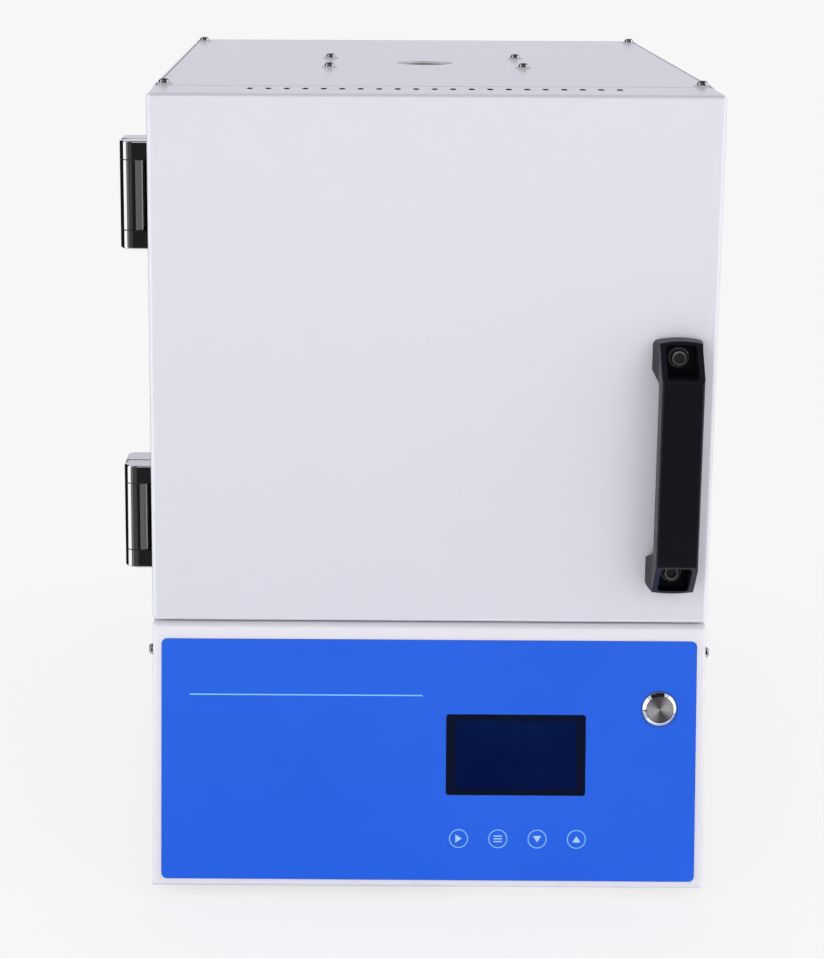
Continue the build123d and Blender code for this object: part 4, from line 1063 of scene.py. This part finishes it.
WIRE_RADIUS = 1.25 * MM
COIL_PITCH = 4.4 * MM
STEPS_PER_TURN = 12


def coils():
    """Wound resistance wire round every ceramic tube."""
    paths = []
    for points in solids_of("heating_coils"):
        low, high = points_box(points)
        centre = (low + high) / 2
        radius = (high.x - low.x) / 2 - WIRE_RADIUS
        length = high.y - low.y - 2 * WIRE_RADIUS
        steps = int(length / COIL_PITCH * STEPS_PER_TURN)
        path = []
        for step in range(steps + 1):
            turn = math.tau * step / STEPS_PER_TURN
            y = low.y + WIRE_RADIUS + length * step / steps
            path.append((centre.x + radius * math.cos(turn), y, centre.z + radius * math.sin(turn)))
        paths.append(path)
    mesh = wire_mesh("coil_windings", paths, WIRE_RADIUS, sides=1)
    piece("coil_windings", mesh, "cabinet", "resistance_wire", stands_for=["heating_coils"])


coils()


# --- Vents, seams, inlet contacts and fan guard ---

VENT_COUNT = 21
VENT_PITCH = 13 * MM
VENT_WIDTH = 4.3 * MM
VENT_LENGTH = 14 * MM
VENT_SETBACK = 41 * MM  # behind the door's front
SLEEVE_PLAY = 0.05 * MM
SLEEVE_WALL = 0.5 * MM
SLEEVE_DEPTH = 5 * MM
SLEEVE_INSET = 0.1 * MM  # below the sheet's outer face
STRIP_WIDTH = 0.8 * MM
STRIP_HEIGHT = 0.8 * MM
STRIP_PLAY = 0.05 * MM
CONTACT_THICKNESS = 2.1 * MM
CONTACT_WIDTH = 8.1 * MM
CONTACT_LENGTH = 15.7 * MM
CONTACT_EDGE = 0.4 * MM
CONTACT_PITCH = 9 * MM
CONTACT_RISE = 4 * MM
CONTACT_ROOT = 22 * MM  # from the flange's face to the recess floor
GUARD_WIRE_RADIUS = 0.8 * MM
GUARD_RINGS = 4
GUARD_SPOKES = 4


def vent_shade_sleeves():
    """Black sleeves in the vent slots along the door's top and bottom, painted shade for the dark inside of
    the slots.
    """
    low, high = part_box("door_shell")
    outlines = [
        rounded_outline(VENT_WIDTH - 2 * inset, VENT_LENGTH - 2 * inset, VENT_WIDTH / 2 - inset)
        for inset in (SLEEVE_PLAY, SLEEVE_WALL)
    ]
    sleeve = plate("sleeve", outlines, SLEEVE_DEPTH)
    y = low.y + VENT_SETBACK
    places = []
    for index in range(VENT_COUNT):
        x = (low.x + high.x) / 2 + VENT_PITCH * (index - (VENT_COUNT - 1) / 2)
        places.append(Matrix.Translation((x, y, high.z - SLEEVE_INSET - SLEEVE_DEPTH)))
        places.append(Matrix.Translation((x, y, low.z + SLEEVE_INSET)))
    piece("vent_shade_sleeves", repeated(sleeve, places, "vent_shade_sleeves"), "door", "black_plastic")


def seam_shade_strips():
    """Dark strips in the seams between the top panel and the rolled sides, painted shade for the dark of the
    seams.
    """
    low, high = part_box("top_panel")
    strip = plate("strip", [rounded_outline(STRIP_WIDTH, high.y - low.y, STRIP_WIDTH / 4)], STRIP_HEIGHT)
    centre_y = (low.y + high.y) / 2
    reach = STRIP_PLAY + STRIP_WIDTH / 2
    places = [Matrix.Translation((x, centre_y, low.z)) for x in (low.x - reach, high.x + reach)]
    piece("seam_shade_strips", repeated(strip, places, "seam_shade_strips"), "cabinet", "black_plastic")


def contacts():
    """Plated blades over the inlet's three pins."""
    low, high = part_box("power_inlet")
    centre = (low + high) / 2
    outline = rounded_outline(CONTACT_THICKNESS, CONTACT_WIDTH, CONTACT_EDGE)
    blade = plate("blade", [outline], CONTACT_LENGTH, CONTACT_EDGE)
    places = []
    for across, rise in ((-CONTACT_PITCH, 0), (0, CONTACT_RISE), (CONTACT_PITCH, 0)):
        root = Vector((centre.x + across, high.y - CONTACT_ROOT, centre.z + rise))
        places.append(standing(root, Vector((0, 1, 0))))
    mesh = repeated(blade, places, "inlet_contacts", FLAT_SHADING)
    piece("inlet_contacts", mesh, "cabinet", "screw_steel")


def guard():
    """Welded wire guard over the fan."""
    low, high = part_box("fan_guard")
    centre = (low + high) / 2
    reach = (high.x - low.x) / 2 - GUARD_WIRE_RADIUS
    ring_y = high.y - GUARD_WIRE_RADIUS
    spoke_y = low.y + GUARD_WIRE_RADIUS
    rings = []
    for ring in range(1, GUARD_RINGS + 1):
        circle = circle_outline(reach * ring / GUARD_RINGS)
        rings.append([(centre.x + x, ring_y, centre.z + z) for x, z in circle])
    spokes = []
    for spoke in range(GUARD_SPOKES):
        turn = math.pi / 4 + math.tau * spoke / GUARD_SPOKES
        ends = [(math.cos(turn) * end, math.sin(turn) * end) for end in (reach / GUARD_RINGS, reach)]
        spokes.append([(centre.x + x, spoke_y, centre.z + z) for x, z in ends])
    ring_wires = wire_mesh("guard_rings", rings, GUARD_WIRE_RADIUS, closed=True)
    spoke_wires = wire_mesh("guard_spokes", spokes, GUARD_WIRE_RADIUS)
    mesh = finish_mesh(opened(ring_wires, spoke_wires), "guard_wires")
    piece("guard_wires", mesh, "cabinet", "screw_steel", stands_for=["fan_guard"])


vent_shade_sleeves()
seam_shade_strips()
contacts()
guard()


# --- Studio ---


def grey(level):
    return (level, level, level, 1)


BACKGROUND = grey(0.93)
SURROUNDINGS = (0.70, 0.69, 0.77, 1)  # what reflections see beyond the cards
WORLD_LIGHT = grey(0.50)
FLOOR_COLOUR = grey(0.86)
FLOOR_SEEN = grey(0.24)  # the same floor as the camera sees it, before the lift
FLOOR_LIFT = 0.735  # keeps the floor's shadow soft
FLOOR_RADIUS = 14
FADE_START = 0.40
FADE_END = 0.85
CARD_DISTANCE = 2.6
CARD_HEIGHT = 2.4
CARD_FLOOR = 0.6  # where the cards on the floor start
OVERHEAD_CARD_HEIGHT = 2.42
FLOOR_GAP = 0.001
AIM = (0, 0, 0.3)
# Name, place, target, width, height and power in watts.
LAMPS = (
    ("front_left", (-1.5, -2.6, 1.5), AIM, 1.4, 1.2, 11),
    ("front_right", (1.6, -2.6, 1.5), AIM, 1.4, 1.2, 11),
    ("left", (-2.2, -0.6, 1.0), AIM, 1.2, 1.2, 4),
    ("right", (2.2, -0.6, 1.0), AIM, 1.2, 1.2, 4),
    ("overhead", (0, 0.2, 2.6), AIM, 1.6, 1.6, 9),
    ("low", (0, -2.4, 0.32), (0, 0, 0.2), 2.4, 0.3, 14),
    ("rear", (0, 2.6, 1.5), AIM, 1.6, 1.2, 9),
)
# Name, from and to direction in degrees from the viewer towards the left, and glow: 0 is black, 1 is white.
CARDS = (
    ("left_dark", 86, 150, 0.01),
    ("left_bright", 60, 86, 1.35),
    ("left_grey", 44, 60, 0.2),
    ("left_shade", 18, 44, 0.07),
    ("front_dark", -34, 18, 0.02),
    ("right_grey", -60, -34, 0.12),
    ("right_bright", -98, -60, 1.5),
)


def either_ray(tree, *names):
    """1 for rays of the named kinds, 0 for the rest."""
    path = tree.nodes.new("ShaderNodeLightPath")
    seen = path.outputs[names[0]]
    for name in names[1:]:
        seen = maths(tree, "MAXIMUM", seen, path.outputs[name])
    return seen


def mixed(tree, factor, first, second):
    return added(tree, "ShaderNodeMixShader", {0: factor, 1: first, 2: second})


def world():
    made = bpy.data.worlds.new("studio")
    bpy.context.scene.world = made
    made.use_nodes = True
    tree = made.node_tree
    colours = (WORLD_LIGHT, BACKGROUND, SURROUNDINGS)
    lighting, backdrop, surroundings = (added(tree, "ShaderNodeBackground", {"Color": c}) for c in colours)
    seen = mixed(tree, either_ray(tree, "Is Camera Ray", "Is Transmission Ray"), lighting, backdrop)
    seen = mixed(tree, either_ray(tree, "Is Glossy Ray"), seen, surroundings)
    tree.links.new(seen, tree.nodes["World Output"].inputs["Surface"])


def studio_object(name, bm, roughness):
    """Piece of the studio with a matt material of its own; returns it with its node tree and shader."""
    mesh = bpy.data.meshes.new(name)
    bm.to_mesh(mesh)
    bm.free()
    material = bpy.data.materials.new(name)
    material.use_nodes = True
    mesh.materials.append(material)
    tree = material.node_tree
    shader = tree.nodes["Principled BSDF"]
    wired(tree, shader, {"Roughness": roughness, "Specular IOR Level": 0.0})
    return add_object(name, mesh), tree, shader


def floor():
    """Pale floor that keeps the shadow near the object and fades into the background further out."""
    bm = bmesh.new()
    bmesh.ops.create_circle(bm, cap_ends=True, radius=FLOOR_RADIUS, segments=96)
    made, tree, shader = studio_object("floor", bm, 0.9)
    camera_sees = either_ray(tree, "Is Camera Ray", "Is Transmission Ray")
    tone = mixed_colour(tree, camera_sees, FLOOR_COLOUR, FLOOR_SEEN)
    plain = wired(tree, shader, {"Base Color": tone})
    lift = added(tree, "ShaderNodeEmission", {"Strength": FLOOR_LIFT})
    lifted = added(tree, "ShaderNodeAddShader", {0: plain, 1: lift})
    near = mixed(tree, camera_sees, plain, lifted)
    distance = tree.nodes.new("ShaderNodeVectorMath")
    distance.operation = "LENGTH"
    away = wired(tree, distance, {0: tree.nodes.new("ShaderNodeTexCoord").outputs["Object"]}, "Value")
    fade = tree.nodes.new("ShaderNodeMapRange")
    fade.interpolation_type = "SMOOTHSTEP"
    faded = wired(tree, fade, {"Value": away, "From Min": FADE_START, "From Max": FADE_END}, "Result")
    far = added(tree, "ShaderNodeEmission", {"Color": BACKGROUND})
    surface = mixed(tree, maths(tree, "MULTIPLY", faded, camera_sees), near, far)
    tree.links.new(surface, tree.nodes["Material Output"].inputs["Surface"])


def softbox(name, place, target, width, height, power):
    lamp = bpy.data.lights.new(name, "AREA")
    lamp.shape = "RECTANGLE"
    lamp.size = width
    lamp.size_y = height
    lamp.energy = power
    made = add_object(name, lamp)
    made.location = place
    made.rotation_euler = (Vector(target) - Vector(place)).to_track_quat("-Z", "Y").to_euler()
    made.visible_glossy = False


def card(name, corners, glow):
    """Studio card that only reflections see; it draws the edges of metal and glass."""
    bm = bmesh.new()
    bm.faces.new([bm.verts.new(corner) for corner in corners])
    made, tree, shader = studio_object(name, bm, 1.0)
    wired(tree, shader, {"Base Color": grey(0), "Emission Color": grey(1), "Emission Strength": glow})
    made.visible_camera = False
    made.visible_diffuse = False
    made.visible_shadow = False
    made.visible_transmission = False


def level_card(name, low, high, z, glow):
    """Level card over a rectangle between two corners."""
    card(name, [(low[0], low[1], z), (high[0], low[1], z), (high[0], high[1], z), (low[0], high[1], z)], glow)


def turned_card(name, start, end, near, far, glow):
    """Card from a near to a far (distance, height) over a range of directions round the object."""
    corners = []
    for turn, (distance, z) in ((start, near), (end, near), (end, far), (start, far)):
        angle = math.radians(turn)
        corners.append((-distance * math.sin(angle), -distance * math.cos(angle), z))
    card(name, corners, glow)


def lights():
    for name, *values in LAMPS:
        softbox(f"{name}_softbox", *values)
    wall = ((CARD_DISTANCE, 0), (CARD_DISTANCE, CARD_HEIGHT))
    ground = ((CARD_FLOOR, FLOOR_GAP), (CARD_DISTANCE, FLOOR_GAP))
    for name, start, end, glow in CARDS:
        turned_card(f"{name}_wall_card", start, end, *wall, glow)
        turned_card(f"{name}_floor_card", start, end, *ground, glow)
    level_card("overhead_dark_card", (-1.3, -2.0), (1.3, 0.3), OVERHEAD_CARD_HEIGHT, 0.02)
    turned_card("front_strip_card", -16, 16, (2.5, 1.15), (2.5, 1.75), 2.2)
    level_card("toe_card", (0.02, -0.6), (0.3, -0.24), FLOOR_GAP, 1.1)


# The photograph's view: its place and direction were fitted to the corners seen in it. Angles are in radians.
CAMERA_PLACE = Vector((-0.0569, -2.0096, 0.7196))
CAMERA_YAW = -0.0077
CAMERA_PITCH = 0.2349
CAMERA_ROLL = 0.0041
CAMERA_LENS = 93.6
CAMERA_SENSOR = 36
CAMERA_SHIFT = 0.0827


def camera():
    data = bpy.data.cameras.new("camera")
    data.sensor_width = CAMERA_SENSOR
    data.lens = CAMERA_LENS
    data.shift_x = CAMERA_SHIFT
    data.clip_start = 0.05
    data.clip_end = 60
    made = add_object("camera", data)
    level = Matrix.Rotation(-CAMERA_YAW, 4, "Z") @ Matrix.Rotation(math.pi / 2 - CAMERA_PITCH, 4, "X")
    made.matrix_world = Matrix.Translation(CAMERA_PLACE) @ level @ Matrix.Rotation(CAMERA_ROLL, 4, "Z")
    bpy.context.scene.camera = made


world()
floor()
lights()
camera()
bpy.context.scene.view_settings.view_transform = "Standard"
